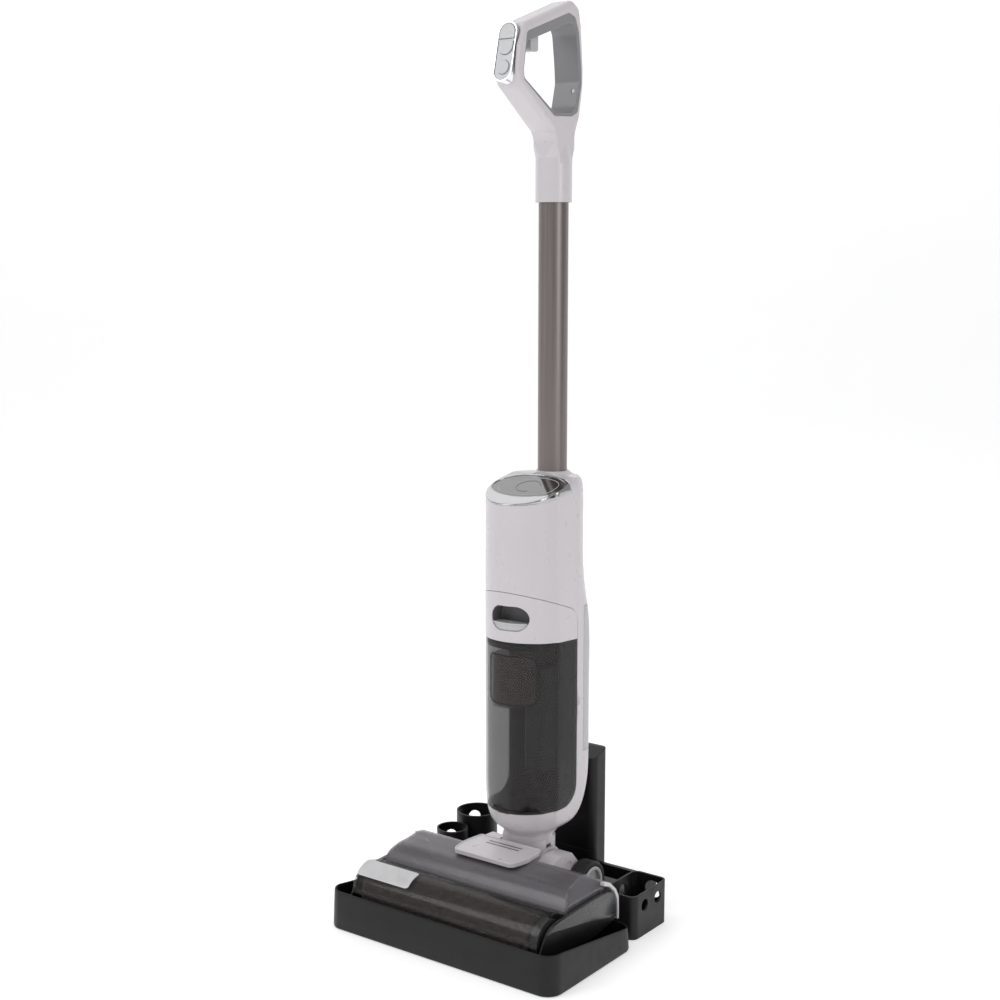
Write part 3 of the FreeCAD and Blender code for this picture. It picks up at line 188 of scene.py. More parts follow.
def plastics():
    # The lighter edge colours given below are partly wear, partly painted highlight on the rims.
    M["white"] = moulded("white_shell", (0.62, 0.588, 0.612), 0.30, 0.03,
                         Coat_Weight=0.25, Coat_Roughness=0.16)
    M["dock"] = moulded("dock_black", (0.0075, 0.0072, 0.0078), 0.42, 0.16, 0.0014, wear_and_rim_highlight=(0.04, 0.04, 0.043),
                        tone=0.12, Specular_IOR_Level=0.30)
    M["dark"] = moulded("dark_plastic", (0.035, 0.035, 0.038), 0.36, 0.10, 0.0010,
                        wear_and_rim_highlight=(0.08, 0.08, 0.085), tone=0.1)
    M["plate"] = moulded("plate_gloss", (0.035, 0.035, 0.037), 0.26, 0.03, 0.0012,
                         wear_and_rim_highlight=(0.12, 0.12, 0.125), tone=0.1, Coat_Weight=0.15, Coat_Roughness=0.2)
    M["well"] = moulded("well_grey", (0.13, 0.125, 0.13), 0.34, 0.04, 0.0008)
    M["grey"] = moulded("grey_plastic", (0.245, 0.24, 0.25), 0.34, 0.05, 0.0012, wear_and_rim_highlight=(0.36, 0.355, 0.37))
    M["silver"] = moulded("silver_panel", (0.42, 0.42, 0.44), 0.30, 0.05, 0.0005, Metallic=0.35)
    M["button"] = moulded("button_plastic", (0.50, 0.505, 0.52), 0.26, 0.03, 0.0007, wear_and_rim_highlight=(0.75, 0.75, 0.77),
                          Coat_Weight=0.3)
    M["pump"] = moulded("pump_plastic", (0.05, 0.05, 0.055), 0.45, 0.1)
    M["core"] = moulded("core_plastic", (0.03, 0.027, 0.026), 0.45, 0.1)
    M["float"] = moulded("float_plastic", (0.60, 0.58, 0.55), 0.4, 0.05)


def rubbers():
    for key, name, color, rough in (("rubber", "soft_rubber", (0.012, 0.012, 0.0125), 0.62),
                                    ("tyre", "tyre_rubber", (0.014, 0.014, 0.0145), 0.55)):
        paint = Paint(name, color, rough, Specular_IOR_Level=0.4)
        paint.round_edges(0.0008)
        paint.tone(40, 0.2)
        paint.haze(160, rough * 0.85, rough * 1.15)
        paint.bump(paint.noise(2600, 3), 0.25, 0.0002)
        M[key] = paint
    paint = Paint("pleated_hose", (0.05, 0.05, 0.055), 0.5)
    wave = paint.add("ShaderNodeTexWave", wave_type="BANDS", bands_direction="Z", wave_profile="SIN")
    wave.inputs["Scale"].default_value = 110
    paint.link(paint.where, wave.inputs["Vector"])
    paint.bump(wave.outputs["Fac"], 0.8, 0.0012)
    M["hose"] = paint


def metals():
    paint = Paint("chrome", (0.86, 0.86, 0.875), 0.06, Metallic=1.0)
    paint.round_edges(0.0006)
    paint.haze(90, 0.04, 0.10)
    paint.bump(paint.noise(420, 2), 0.02, 0.0001)
    M["chrome"] = paint
    paint = Paint("chrome_ring", (0.50, 0.50, 0.51), 0.05, Metallic=1.0)
    paint.round_edges(0.0032, 12)
    paint.haze(90, 0.04, 0.08)
    M["ring"] = paint
    paint = Paint("tube_finish", (0.235, 0.205, 0.20), 0.34, Metallic=0.82)
    paint.round_edges(0.0006)
    streak = paint.noise(240, 3, 0.6, paint.stretch((1.0, 1.0, 0.015)))
    paint.paint(paint.mix(paint.span(streak, 0.3, 0.7), (0.215, 0.187, 0.182), (0.262, 0.230, 0.224)))
    paint.link(paint.span(streak, 0.3, 0.7, 0.29, 0.40), paint.shader.inputs["Roughness"])
    paint.bump(paint.noise(900, 2, 0.5, paint.stretch((1.0, 1.0, 0.02))), 0.05, 0.0001)
    M["tube"] = paint
    for key, name, color, rough in (("steel", "turned_steel", (0.56, 0.56, 0.57), 0.28),
                                    ("can", "motor_can", (0.42, 0.42, 0.43), 0.38),
                                    ("contact", "plated_contact", (0.75, 0.55, 0.25), 0.25)):
        paint = Paint(name, color, rough, Metallic=1.0)
        paint.round_edges(0.0004)
        paint.haze(300, rough * 0.8, rough * 1.25)
        paint.bump(paint.noise(1400, 2), 0.06, 0.0001)
        M[key] = paint


def clears():
    paint = Paint("smoke_dome", (0.175, 0.165, 0.180), 0.24, Alpha=0.62,
                  Coat_Weight=0.25, Coat_Roughness=0.18)
    paint.haze(35, 0.21, 0.27)
    M["smoke"] = paint
    paint = Paint("clear_dome", (0.05, 0.046, 0.044), 0.10, Alpha=0.26)
    paint.haze(45, 0.08, 0.13)
    M["clear"] = paint
    paint = Paint("tank_wall", (0.014, 0.011, 0.011), 0.06, Alpha=0.42)
    paint.haze(45, 0.05, 0.08)
    M["tank"] = paint
    paint = Paint("inner_clear", (0.30, 0.25, 0.23), 0.16, Alpha=0.45)
    paint.haze(90, 0.12, 0.22)
    M["inner"] = paint
    paint = Paint("chamber_wall", (0.20, 0.155, 0.14), 0.25, Alpha=0.6)
    paint.haze(90, 0.2, 0.3)
    M["chamber"] = paint
    paint = Paint("milky_tank", (0.66, 0.66, 0.685), 0.35, Transmission_Weight=0.25, IOR=1.45)
    paint.round_edges(0.0008)
    paint.haze(60, 0.3, 0.42)
    paint.bump(paint.noise(1100, 2), 0.05, 0.0002)
    M["milky"] = paint
    paint = Paint("display_black", (0.008, 0.008, 0.009), 0.05, Coat_Weight=1.0, Coat_Roughness=0.02)
    paint.haze(40, 0.04, 0.09)
    M["glass"] = paint


def wraps():
    paint = Paint("battery_wrap", (0.03, 0.06, 0.2), 0.3)
    paint.tone(60, 0.15)
    paint.bump(paint.noise(120, 3), 0.2, 0.0005)
    M["battery"] = paint
    paint = Paint("board", (0.01, 0.10, 0.035), 0.35)
    tracks = paint.span(paint.cells(260), 0.28, 0.32)
    paint.paint(paint.mix(tracks, (0.25, 0.2, 0.08), (0.01, 0.10, 0.035)))
    paint.bump(tracks, 0.2, 0.0002)
    M["board"] = paint
    paint = Paint("blank_label", (0.62, 0.61, 0.62), 0.35)
    paint.tone(60, 0.05)
    paint.bump(paint.noise(900, 2), 0.06, 0.0001)
    M["label"] = paint
    paint = Paint("microfibre", (0.03, 0.025, 0.023), 0.95, Sheen_Weight=0.12, Sheen_Roughness=0.5,
                  Sheen_Tint=(0.75, 0.68, 0.62, 1))
    curl = paint.noise(620, 4, 0.65)
    clump = paint.noise(150, 3, 0.6)
    speck = paint.math("ADD", paint.math("MULTIPLY", curl, 0.72), paint.math("MULTIPLY", clump, 0.28))
    ramp = paint.mix(paint.span(speck, 0.40, 0.66), (0.012, 0.0098, 0.009), (0.13, 0.108, 0.098))
    paint.paint(ramp)
    paint.bump(curl, 0.9, 0.0012)
    M["fibre"] = paint


plastics()
rubbers()
metals()
clears()
wraps()


def dress(obj, key):
    """Give an object one material in every slot."""
    obj.data.materials.clear()
    obj.data.materials.append(M[key].material)
    return obj


CAD_LOOKS = {
    "dock": ("dock_base", "dock_post", "cup_holder_rear", "cup_holder_front", "accessory_basket"),
    "rubber": ("dock_feet", "squeegee", "tank_seal", "clean_tank_cap", "drive_belt"),
    "contact": ("charge_contacts",),
    "dark": ("head_chassis", "suction_duct", "spray_bar", "neck_lock_tab", "motor_filter", "tank_strainer",
             "roller_end_cap"),
    "white": ("head_housing", "cover_latch", "neck_yoke", "rear_shell", "front_housing", "tank_collar",
              "handle_shell", "pivot_pins"),
    "tank": ("dirty_tank",),
    "milky": ("clean_tank",),
    "inner": ("float_cage",),
    "grey": ("grip_lining",),
    "float": ("float_ball",),
    "silver": ("pod_panel",),
    "button": ("button_power", "button_mode", "button_clean", "trigger", "tank_release"),
    "chrome": ("pod_rim",),
    "ring": ("display_ring",),
    "glass": ("display_glass",),
    "hose": ("neck_hose",),
    "steel": ("wheel_axles", "handle_screws", "motor_pulley"),
    "can": ("brush_motor", "suction_motor"),
    "battery": ("battery_pack",),
    "board": ("control_board",),
    "pump": ("water_pump",),
    "core": ("roller_core",),
    "tube": ("main_tube",),
}
for look, names in CAD_LOOKS.items():
    for name in names:
        dress(NODES[name], look)

# ---------------------------------------------------------------- mesh helpers


def finished(name, bm, look, body, replaces=(), sharp=35):
    """Turn a bmesh into a piece that rides on a body."""
    bmesh.ops.recalc_face_normals(bm, faces=bm.faces)
    mesh = bpy.data.meshes.new(name)
    bm.to_mesh(mesh)
    bm.free()
    for face in mesh.polygons:
        face.use_smooth = True
    mesh.set_sharp_from_angle(angle=math.radians(sharp))
    obj = bpy.data.objects.new(name, mesh)
    bpy.context.scene.collection.objects.link(obj)
    mesh.materials.append(M[look].material)
    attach(obj, body)
    if replaces:
        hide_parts(*replaces)
    return obj


def skin(bm, rings, closed=True):
    """Quads between rings of points, all of one length. Returns the rings of vertices."""
    made = [[bm.verts.new(point) for point in ring] for ring in rings]
    for low, high in zip(made, made[1:]):
        count = len(low)
        for index in range(count if closed else count - 1):
            after = (index + 1) % count
            bm.faces.new((low[index], low[after], high[after], high[index]))
    return made


def about_x(x, centre, radius, angle):
    """A point at an angle round an X axis through centre (y, z)."""
    return Vector((x, centre[0] + radius * math.cos(angle), centre[1] + radius * math.sin(angle)))


def lathe_x(profile, centre, steps=96):
    """Rings about an X axis through centre (y, z), from (x, radius) pairs."""
    rings = []
    for x, radius in profile:
        rings.append([about_x(x, centre, radius, 2 * math.pi * step / steps) for step in range(steps)])
    return rings


def rounded_outline(x_low, x_high, y_low, y_high, radius, steps=14, along=16):
    """Points round a rectangle with round corners, seen from above, anticlockwise."""
    points = []
    corners = [(x_high - radius, y_low + radius, -90), (x_high - radius, y_high - radius, 0),
               (x_low + radius, y_high - radius, 90), (x_low + radius, y_low + radius, 180)]
    for index, (x, y, start) in enumerate(corners):
        for step in range(steps + 1):
            angle = math.radians(start + 90 * step / steps)
            points.append((x + radius * math.cos(angle), y + radius * math.sin(angle)))
        after = corners[(index + 1) % 4]
        angle = math.radians(after[2])
        end = (after[0] + radius * math.cos(angle), after[1] + radius * math.sin(angle))
        last = points[-1]
        for step in range(1, along):
            share = step / along
            points.append((last[0] + (end[0] - last[0]) * share, last[1] + (end[1] - last[1]) * share))
    return points


def tube_along(points, radius, sides=10, closed=True):
    """A round bead along a polyline, as rings for skin()."""
    rings = []
    count = len(points)
    for index, point in enumerate(points):
        before = points[index - 1] if closed or index else points[index]
        after = points[(index + 1) % count] if closed or index < count - 1 else points[index]
        heading = (after - before).normalized()
        side = heading.cross(Vector((0, 0, 1)))
        if side.length < 1e-4:
            side = heading.cross(Vector((0, 1, 0)))
        side.normalize()
        up = side.cross(heading)
        rings.append([point + side * (radius * math.cos(2 * math.pi * s / sides))
                      + up * (radius * math.sin(2 * math.pi * s / sides)) for s in range(sides)])
    return rings


def bead(name, points, radius, look, body, closed=True):
    """A piece that is a round bead along points."""
    bm = bmesh.new()
    rings = tube_along(points, radius, closed=closed)
    if closed:
        rings.append(rings[0])
    made = skin(bm, rings)
    if not closed:
        bm.faces.new(made[0])
        bm.faces.new(made[-1])
    bmesh.ops.remove_doubles(bm, verts=bm.verts, dist=1e-6)
    return finished(name, bm, look, body)


# ---------------------------------------------------------------- dock tray

TRAY = {"half": 0.1675, "front": -0.190, "back": -0.017, "high": 0.048, "low": 0.0275, "corner": 0.020}
RIB_SIZE = (0.004, 0.044, 0.0154)
RIB_PLACE = (-0.147, 0.0097)


def tray_rim(y):
    """Height of the rim: level at the front, falling to the back."""
    start, end = TRAY["front"] + TRAY["corner"], TRAY["back"] - 0.009
    share = min(1, max(0, (y - start) / (end - start)))
    return TRAY["high"] + (TRAY["low"] - TRAY["high"]) * share


def build_tray():
    """Drafted tray with a rolled rim, a filleted floor and low ribs under the roller.

    Each station is an inset from the outside in mm, a share of the rim's height and a lift in mm.
    """
    foot = [(14, 0, 0.0), (2.2, 0, 0.0), (0.7, 0, 0.7), (0.0, 0, 2.4)]
    outside = [(0.9, 0.6, 0), (1.7, 1, -3.0)]
    rim = [(1.85, 1, -1.2), (2.15, 1, -0.35), (2.7, 1, 0.0), (3.3, 1, -0.1), (3.85, 1, -0.55),
           (4.15, 1, -1.5)]
    inside = [(4.3, 1, -3.2), (5.0, 0.5, 0), (6.0, 0, 8.5), (6.9, 0, 5.4), (8.6, 0, 3.6), (11.5, 0, 3.0)]
    floor = [(30, 0, 3.0)]
    bm = bmesh.new()
    rings = []
    for inset, share, lift in foot + outside + rim + inside + floor:
        step = inset * MM
        outline = rounded_outline(-TRAY["half"] + step, TRAY["half"] - step, TRAY["front"] + step,
                                  TRAY["back"] - step, max(TRAY["corner"] - step, 0.004))
        rings.append([Vector((x, y, tray_rim(y) * share + lift * MM)) for x, y in outline])
    made = skin(bm, rings)
    bm.faces.new(made[-1])
    bm.faces.new(list(reversed(made[0])))
    finished("tray_shell", bm, "dock", "dock", ("dock_tray",), sharp=60)
    bm = bmesh.new()
    for x in (-100, -50, 0, 50, 100):
        block = bmesh.ops.create_cube(bm, size=1)
        for vert in block["verts"]:
            vert.co = Vector((x * MM + vert.co.x * RIB_SIZE[0], RIB_PLACE[0] + vert.co.y * RIB_SIZE[1],
                              RIB_PLACE[1] + vert.co.z * RIB_SIZE[2]))
    bmesh.ops.bevel(bm, geom=bm.edges[:], offset=0.0012, segments=3, affect="EDGES", profile=0.5)
    finished("tray_ribs", bm, "dock", "dock")


# ---------------------------------------------------------------- roller and cover

AXIS = (-0.147, 0.0465)
PILE_RADIUS = 0.0274
PILE_ENDS = (-0.1260, 0.1195)


def build_sleeve():
    """Short looped pile on the roller, in a slow spiral."""
    around, along = ((420, 380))
    low, high = PILE_ENDS
    bm = bmesh.new()
    rings = []
    for row in range(along + 1):
        x = low + (high - low) * row / along
        edge = min(row, along - row) / along * (high - low)
        shoulder = 0.0022 * max(0.0, 1 - edge / 0.004) ** 2
        ring = []
        for step in range(around):
            angle = 2 * math.pi * step / around
            spot = Vector((x * 900, 28.5 * math.cos(angle), 28.5 * math.sin(angle)))
            tuft = noise.noise(spot * 0.55) * 0.5 + noise.noise(spot * 1.4) * 0.5
            swirl = math.sin(angle * 2 + x * 55)
            radius = PILE_RADIUS - shoulder + 0.00075 * tuft + 0.0002 * swirl
            ring.append(about_x(x, AXIS, radius, angle))
        rings.append(ring)
    made = skin(bm, rings)
    bore = 0.68
    for ring, x in ((made[0], low), (made[-1], high)):
        inner = [bm.verts.new((x, AXIS[0] + (v.co.y - AXIS[0]) * bore, AXIS[1] + (v.co.z - AXIS[1]) * bore))
                 for v in ring]
        for index in range(around):
            after = (index + 1) % around
            bm.faces.new((ring[index], ring[after], inner[after], inner[index]))
    finished("roller_pile", bm, "fibre", "roller", ("roller_sleeve",), sharp=180)


SEAM = (-0.1192, 0.0684)
DOME_FOOT = 0.0668
CLEAR_RADIUS = 31.4
CLEAR_WALL = 2.1


def dome_profile():
    """Side view of the rear dome from the valley over the crest to its back edge: (y, z) in mm."""
    knots = [(-118.5, 68.2), (-114.0, 76.5), (-108.0, 84.0), (-99.0, 88.8), (-88.0, 90.5), (-75.0, 92.6),
             (-62.0, 93.5), (-50.0, 89.6), (-38.0, 80.5)]
    points = []
    for index in range(len(knots) - 1):
        a = knots[max(index - 1, 0)]
        b, c = knots[index], knots[index + 1]
        d = knots[min(index + 2, len(knots) - 1)]
        for step in range(6):
            t = step / 6
            point = []
            for k in (0, 1):
                square = (2 * a[k] - 5 * b[k] + 4 * c[k] - d[k]) * t * t
                cube = (3 * b[k] - a[k] - 3 * c[k] + d[k]) * t ** 3
                point.append(0.5 * (2 * b[k] + (c[k] - a[k]) * t + square + cube))
            points.append(tuple(point))
    points.append(knots[-1])
    return points


def end_limit(x):
    """Height that the rear dome's ends may reach: they slope down to the side plates, in mm."""
    return 100.5 - max(0.0, abs(x) - 121.0) * 1.52


def soft_min(a, b, blend=3.0):
    """The smaller value, blended round where the two meet."""
    gap = max(blend - abs(a - b), 0) / blend
    return min(a, b) - gap * gap * blend / 4


def shell(name, rings, thick, look, body, replaces=(), offset=-1.0):
    """An open sheet of quads given a thickness."""
    bm = bmesh.new()
    skin(bm, rings, closed=False)
    obj = finished(name, bm, look, body, replaces, sharp=180)
    solid = obj.modifiers.new("thickness", "SOLIDIFY")
    solid.thickness = thick
    solid.offset = offset
    solid.use_even_offset = True
    return obj


def build_rear_dome():
    """Smoky sheet over the back of the head, closed at both ends."""
    profile = dome_profile()
    xs = [-136, -135.4, -134.4, -133, -131, -128.5, -125, -121, -116, -108]
    xs += [-98 + 14 * k for k in range(15)]
    xs += [-x for x in reversed(xs[:10])]
    rings = []
    for x in xs:
        ring = []
        for y, z in profile:
            top = soft_min(z, end_limit(x))
            drop = max(0.0, abs(x) - 133.0) / 3.0
            top = top - 2.2 * drop * drop
            ring.append(Vector((x * MM, y * MM, max(top, 66.5) * MM)))
        rings.append(ring)
    left_end = [Vector((p.x, p.y, min(p.z, DOME_FOOT))) for p in rings[0]]
    right_end = [Vector((p.x, p.y, min(p.z, DOME_FOOT))) for p in rings[-1]]
    rings = [left_end] + rings + [right_end]
    rings = [list(reversed(ring)) for ring in rings]
    shell("rear_dome", rings, 0.0020, "smoke", "cover", ("roller_cover",))
    lip = [Vector((x * MM, SEAM[0], 0.0682)) for x in xs]
    bead("dome_seam_bead", lip, 0.0007, "smoke", "cover", closed=False)


def build_front_dome():
    """Clear sheet round the roller's front and top, rounded at its left end."""
    rings = []
    xs = [-136, -135.2, -134, -132.4, -130.4, -128, -125] + [-118 + 16.5 * k for k in range(15)]
    xs += [124, 130, 136.4, 137.8, 138.4, 138.6]
    for x in xs:
        ease = max(0.0, (-x - 127.0) / 9.0)
        shrink = 5.2 * (1 - math.sqrt(max(0.0, 1 - ease * ease))) if x < -127 else 0.0
        if x > 136.4:
            shrink = 0.18 * (x - 136.4)
        here = CLEAR_RADIUS - shrink
        ring = [Vector((x * MM, AXIS[0] - (here + 0.9) * MM, 0.0470))]
        for step in range(41):
            angle = math.radians(180 - (180 - 48) * step / 40)
            ring.append(about_x(x * MM, AXIS, here * MM, angle))
        end = ring[-1]
        seam = Vector((x * MM, SEAM[0], SEAM[1] - shrink * MM))
        ring += [end.lerp(seam, step / 4) for step in range(1, 5)]
        rings.append(ring)
    shell("front_dome", rings, CLEAR_WALL * MM, "clear", "cover", offset=1.0)


def on_dome(x, degrees, lift):
    """A point over the front dome's outside, by X and lift in mm and angle round the roller from +Y."""
    return about_x(x * MM, AXIS, (CLEAR_RADIUS + CLEAR_WALL + 0.02 + lift) * MM, math.radians(degrees))


def build_label():
    """Blank light label, with round corners, on the front dome's left end."""
    outline = rounded_outline(-134, -54, 91, 138, 6, 8, 8)
    centre_x, centre_angle = -94, 114.5
    bm = bmesh.new()
    rings = []
    for inset, lift in ((0.0, 0.02), (0.0, 0.24), (0.35, 0.34), (3, 0.34), (8, 0.34), (14, 0.34), (20, 0.34)):
        wide, tall = 1 - inset / 30, 1 - inset / 23.5
        ring = []
        for x, degrees in outline:
            turned = centre_angle + (degrees - centre_angle) * tall
            ring.append(on_dome(centre_x + (x - centre_x) * wide, turned, lift))
        rings.append(ring)
    made = skin(bm, rings)
    bm.faces.new(made[-1])
    finished("blank_label", bm, "label", "cover", sharp=50)


build_tray()
build_sleeve()
build_rear_dome()
build_front_dome()
build_label()

# ---------------------------------------------------------------- head details


PLATE_TOP = [(-163, 60), (-157, 64.6), (-150, 67), (-141, 68.5), (-106, 70), (-68, 71), (-46, 71.2),
             (-40, 70.6), (-34, 68.4), (-29, 65), (-25.2, 59.5), (-23.5, 54), (-22.4, 46), (-22, 40),
             (-22, 34)]
PLATE_STEP = [(-22, 34.0), (-45, 39.6), (-68, 45.5), (-90, 49.8), (-115, 54.0), (-140, 57.8), (-163, 60.2)]
PLATE_FOOT = [(-22, 31), (-24, 29.4), (-60, 24), (-163, 24), (-168, 25), (-176, 40), (-172.7, 46),
              (-168.5, 53), (-164.5, 58.2)]
PLATE_BACK = 0.1391
PLATE_FACE = 0.1439
PLATE_LOW_FACE = 0.1412


def plate_outline(low):
    """Side plate profile in (y, z) mm: the gloss upper face, or the part set back under its sloping step."""
    if low:
        return [(y, z - 0.4) for y, z in PLATE_STEP] + PLATE_FOOT[::-1]
    return PLATE_TOP + PLATE_STEP[1:-1]


def build_plates():
    """Dark plates on the head's two ends."""
    for side, name in ((1, "side_plate_right"), (-1, "side_plate_left")):
        for low in (False, True):
            faces = (side * PLATE_BACK, side * (PLATE_LOW_FACE if low else PLATE_FACE))
            outline = plate_outline(low)
            bm = bmesh.new()
            made = skin(bm, [[Vector((x, y * MM, z * MM)) for y, z in outline] for x in faces])
            bm.faces.new(made[0])
            cap = bm.faces.new(made[-1])
            if not low:
                bmesh.ops.bevel(bm, geom=list(cap.edges), offset=0.0012, segments=4, affect="EDGES",
                                profile=0.5)
            piece = name.replace("side", "end") + ("_lower" if low else "")
            # The set-back lower part is near-black dock plastic: partly its own darker plastic, partly
            # painted shade under the step.
            finished(piece, bm, "dock" if low else "plate", "head",
                     () if low else (name,), sharp=40)


WHEEL_CENTRE = (0.021, 0.0455)
WHEEL_INNER = 0.062
WHEEL_OUTER = 0.082
TREAD = 0.0275
GROOVE = 0.0268


def wheel_part(piece, side, name, profile, look, capped=False, replaces=(), sharp=40):
    """One lathed part of a wheel, from (x, radius) pairs on the right-hand side."""
    bm = bmesh.new()
    made = skin(bm, lathe_x([(side * x, radius) for x, radius in profile], WHEEL_CENTRE))
    if capped:
        bm.faces.new(made[-1])
    finished(piece + name, bm, look, name + "_wheel", replaces, sharp=sharp)


def build_wheel(side, name):
    """Tyre with shallow tread grooves round a hub with a bright ring."""
    inner, outer = WHEEL_INNER, WHEEL_OUTER
    tyre = [(inner, 0.0213), (inner, 0.0252), (inner + 0.0006, 0.0266), (inner + 0.002, 0.0273)]
    for k in range(4):
        start = inner + 0.0032 + 0.0040 * k
        tyre += [(start, TREAD), (start + 0.0012, TREAD), (start + 0.0015, GROOVE), (start + 0.0022, GROOVE),
                 (start + 0.0025, TREAD)]
    tyre += [(outer - 0.002, 0.0273), (outer - 0.0006, 0.0266), (outer, 0.0252), (outer - 0.0002, 0.0213)]
    ring = [(outer - 0.0002, 0.0211), (outer + 0.0004, 0.0204), (outer + 0.0004, 0.0176),
            (outer - 0.0008, 0.0168)]
    hub = [(inner, 0.0062), (inner, 0.0209), (outer - 0.0004, 0.0209), (outer - 0.0010, 0.0172),
           (outer - 0.0034, 0.0164), (outer - 0.0040, 0.0120), (outer - 0.0036, 0.0075),
           (outer - 0.0014, 0.0066), (outer - 0.0010, 0.0030), (outer - 0.0009, 0.0004)]
    wheel_part("tyre_", side, name, tyre, "tyre", replaces=("wheel_tyre_" + name,))
    wheel_part("hub_ring_", side, name, ring, "white")
    wheel_part("hub_", side, name, hub, "silver", capped=True,
               replaces=("wheel_hub_" + name,), sharp=30)


def latch_outline(inset, z):
    """The latch plate's outline with rounded corners, moved in by inset mm."""
    knots = [(-44, -97, 9), (44, -97, 9), (50, -72, 14), (46, -37, 4), (-46, -37, 4), (-50, -72, 14)]
    centre = Vector((0, -66))
    points = []
    count = len(knots)
    for index, (x, y, radius) in enumerate(knots):
        here = Vector((x, y))
        before = Vector(knots[index - 1][:2])
        after = Vector(knots[(index + 1) % count][:2])
        start = here + (before - here).normalized() * radius
        end = here + (after - here).normalized() * radius
        for step in range(9):
            t = step / 8
            point = start.lerp(here, t).lerp(here.lerp(end, t), t)
            points.append(point)
    return [Vector(((p.x - inset * (1 if p.x > 0 else -1) * min(1, abs(p.x) / 40)) * MM,
                    (p.y + (centre.y - p.y) * inset / 30) * MM, z * MM)) for p in points]


def build_latch():
    """Raised rim on the latch plate, and two dark blocks painted as the shade inside its two slits."""
    bead("latch_rim", latch_outline(1.0, 98.2), 0.0013, "white", "latch")
    bm = bmesh.new()
    # Dark grey blocks: painted shade standing in for the shadowed insides of the two slits.
    for y in (-0.0555, -0.0485):
        block = bmesh.ops.create_cube(bm, size=1)
        for vert in block["verts"]:
            vert.co = Vector((vert.co.x * 0.0494, y + vert.co.y * 0.0029, 0.0974 + vert.co.z * 0.0024))
    bmesh.ops.bevel(bm, geom=bm.edges[:], offset=0.0003, segments=2, affect="EDGES", profile=0.5)
    finished("latch_slits", bm, "well", "latch")


GLASS_CENTRE = Vector((0, -0.0037, 0.5365))
GLASS_TILT = math.radians(17)


def on_glass(u, v):
    """A point just over the display glass, in mm to the right and up its slope from its centre."""
    along = Vector((0, math.cos(GLASS_TILT), math.sin(GLASS_TILT)))
    up = Vector((0, -math.sin(GLASS_TILT), math.cos(GLASS_TILT)))
    return GLASS_CENTRE + Vector((1, 0, 0)) * (u * MM) + along * (v * MM) + up * (0.02 * MM)


def build_display():
    """Thin light outline and one plain arc on the display glass."""
    half_wide, half_high, power = 39.6, 24.4, 2.5
    ring = []
    for k in range(160):
        angle = 2 * math.pi * k / 160
        across, upward = math.cos(angle), math.sin(angle)
        reach = (abs(across) ** power + abs(upward) ** power) ** (-1 / power)
        ring.append(on_glass(half_wide * reach * across, half_high * reach * upward))
    bead("display_outline", ring, 0.00035, "label", "body")
    angles = [math.radians(20 + 280 * k / 60) for k in range(61)]
    arc = [on_glass(15 * math.cos(angle), 15 * math.sin(angle)) for angle in angles]
    bead("display_gauge", arc, 0.0003, "well", "body", closed=False)


FRONT_DEPTH = 57
FRONT_HALF = 52
GRIP_HEIGHT = 384
GRIP_RADIUS = 15
GRIP_ENDS = (-2, 17)


def front_surface(x):
    """Y of the body's front at X, both in mm."""
    return -FRONT_DEPTH * math.sqrt(1 - (x / FRONT_HALF) ** 2)


def stadium(inset, steps=20):
    """(x, z) points round the grip recess, in mm."""
    radius = GRIP_RADIUS - inset
    points = []
    for centre, start in ((GRIP_ENDS[1], -90), (GRIP_ENDS[0], 90)):
        for step in range(steps + 1):
            angle = math.radians(start + 180 * step / steps)
            points.append((centre + radius * math.cos(angle), GRIP_HEIGHT + radius * math.sin(angle)))
    return points


def build_grip():
    """Dark liner of the grip recess and the bright edge of the release plate."""
    outline = stadium(0.25)
    inner = stadium(3)
    rings = [[Vector((x * MM, (front_surface(x) + 1.3) * MM, z * MM)) for x, z in outline],
             [Vector((x * MM, (front_surface(x) + 6) * MM, z * MM)) for x, z in outline],
             [Vector((x * MM, -0.0345, z * MM)) for x, z in outline],
             [Vector((x * MM, -0.0334, z * MM)) for x, z in inner]]
    bm = bmesh.new()
    made = skin(bm, rings)
    bm.faces.new(made[-1])
    finished("grip_well", bm, "well", "tank", sharp=50)
    edge = [Vector((x * MM, (front_surface(x) + 0.75) * MM, 0.3777))
            for x in [-14.1 + 43.2 * k / 24 for k in range(25)]]
    bead("release_edge", edge, 0.0008, "white", "release_bar", closed=False)


TANK_INSIDE_DEPTH = 54.1
TANK_INSIDE_HALF = 49.1
CHAMBER = {"left": -25, "right": 36, "foot": 277, "top": 337, "corner": 9}


def inner_front(x):
    """Y of the tank wall's inside at X, both in mm."""
    return -TANK_INSIDE_DEPTH * math.sqrt(1 - (x / TANK_INSIDE_HALF) ** 2)


def chamber_ring(gap, share=1.0):
    """Points round the float chamber's front, gap mm behind the tank's wall, at a share of its size."""
    middle_x = (CHAMBER["left"] + CHAMBER["right"]) / 2
    middle_z = (CHAMBER["foot"] + CHAMBER["top"]) / 2
    ring = []
    for x, z in rounded_outline(CHAMBER["left"], CHAMBER["right"], CHAMBER["foot"], CHAMBER["top"],
                                CHAMBER["corner"], 8, 14):
        x = middle_x + (x - middle_x) * share
        z = middle_z + (z - middle_z) * share
        ring.append(Vector((x * MM, (inner_front(x) + gap) * MM, z * MM)))
    return ring


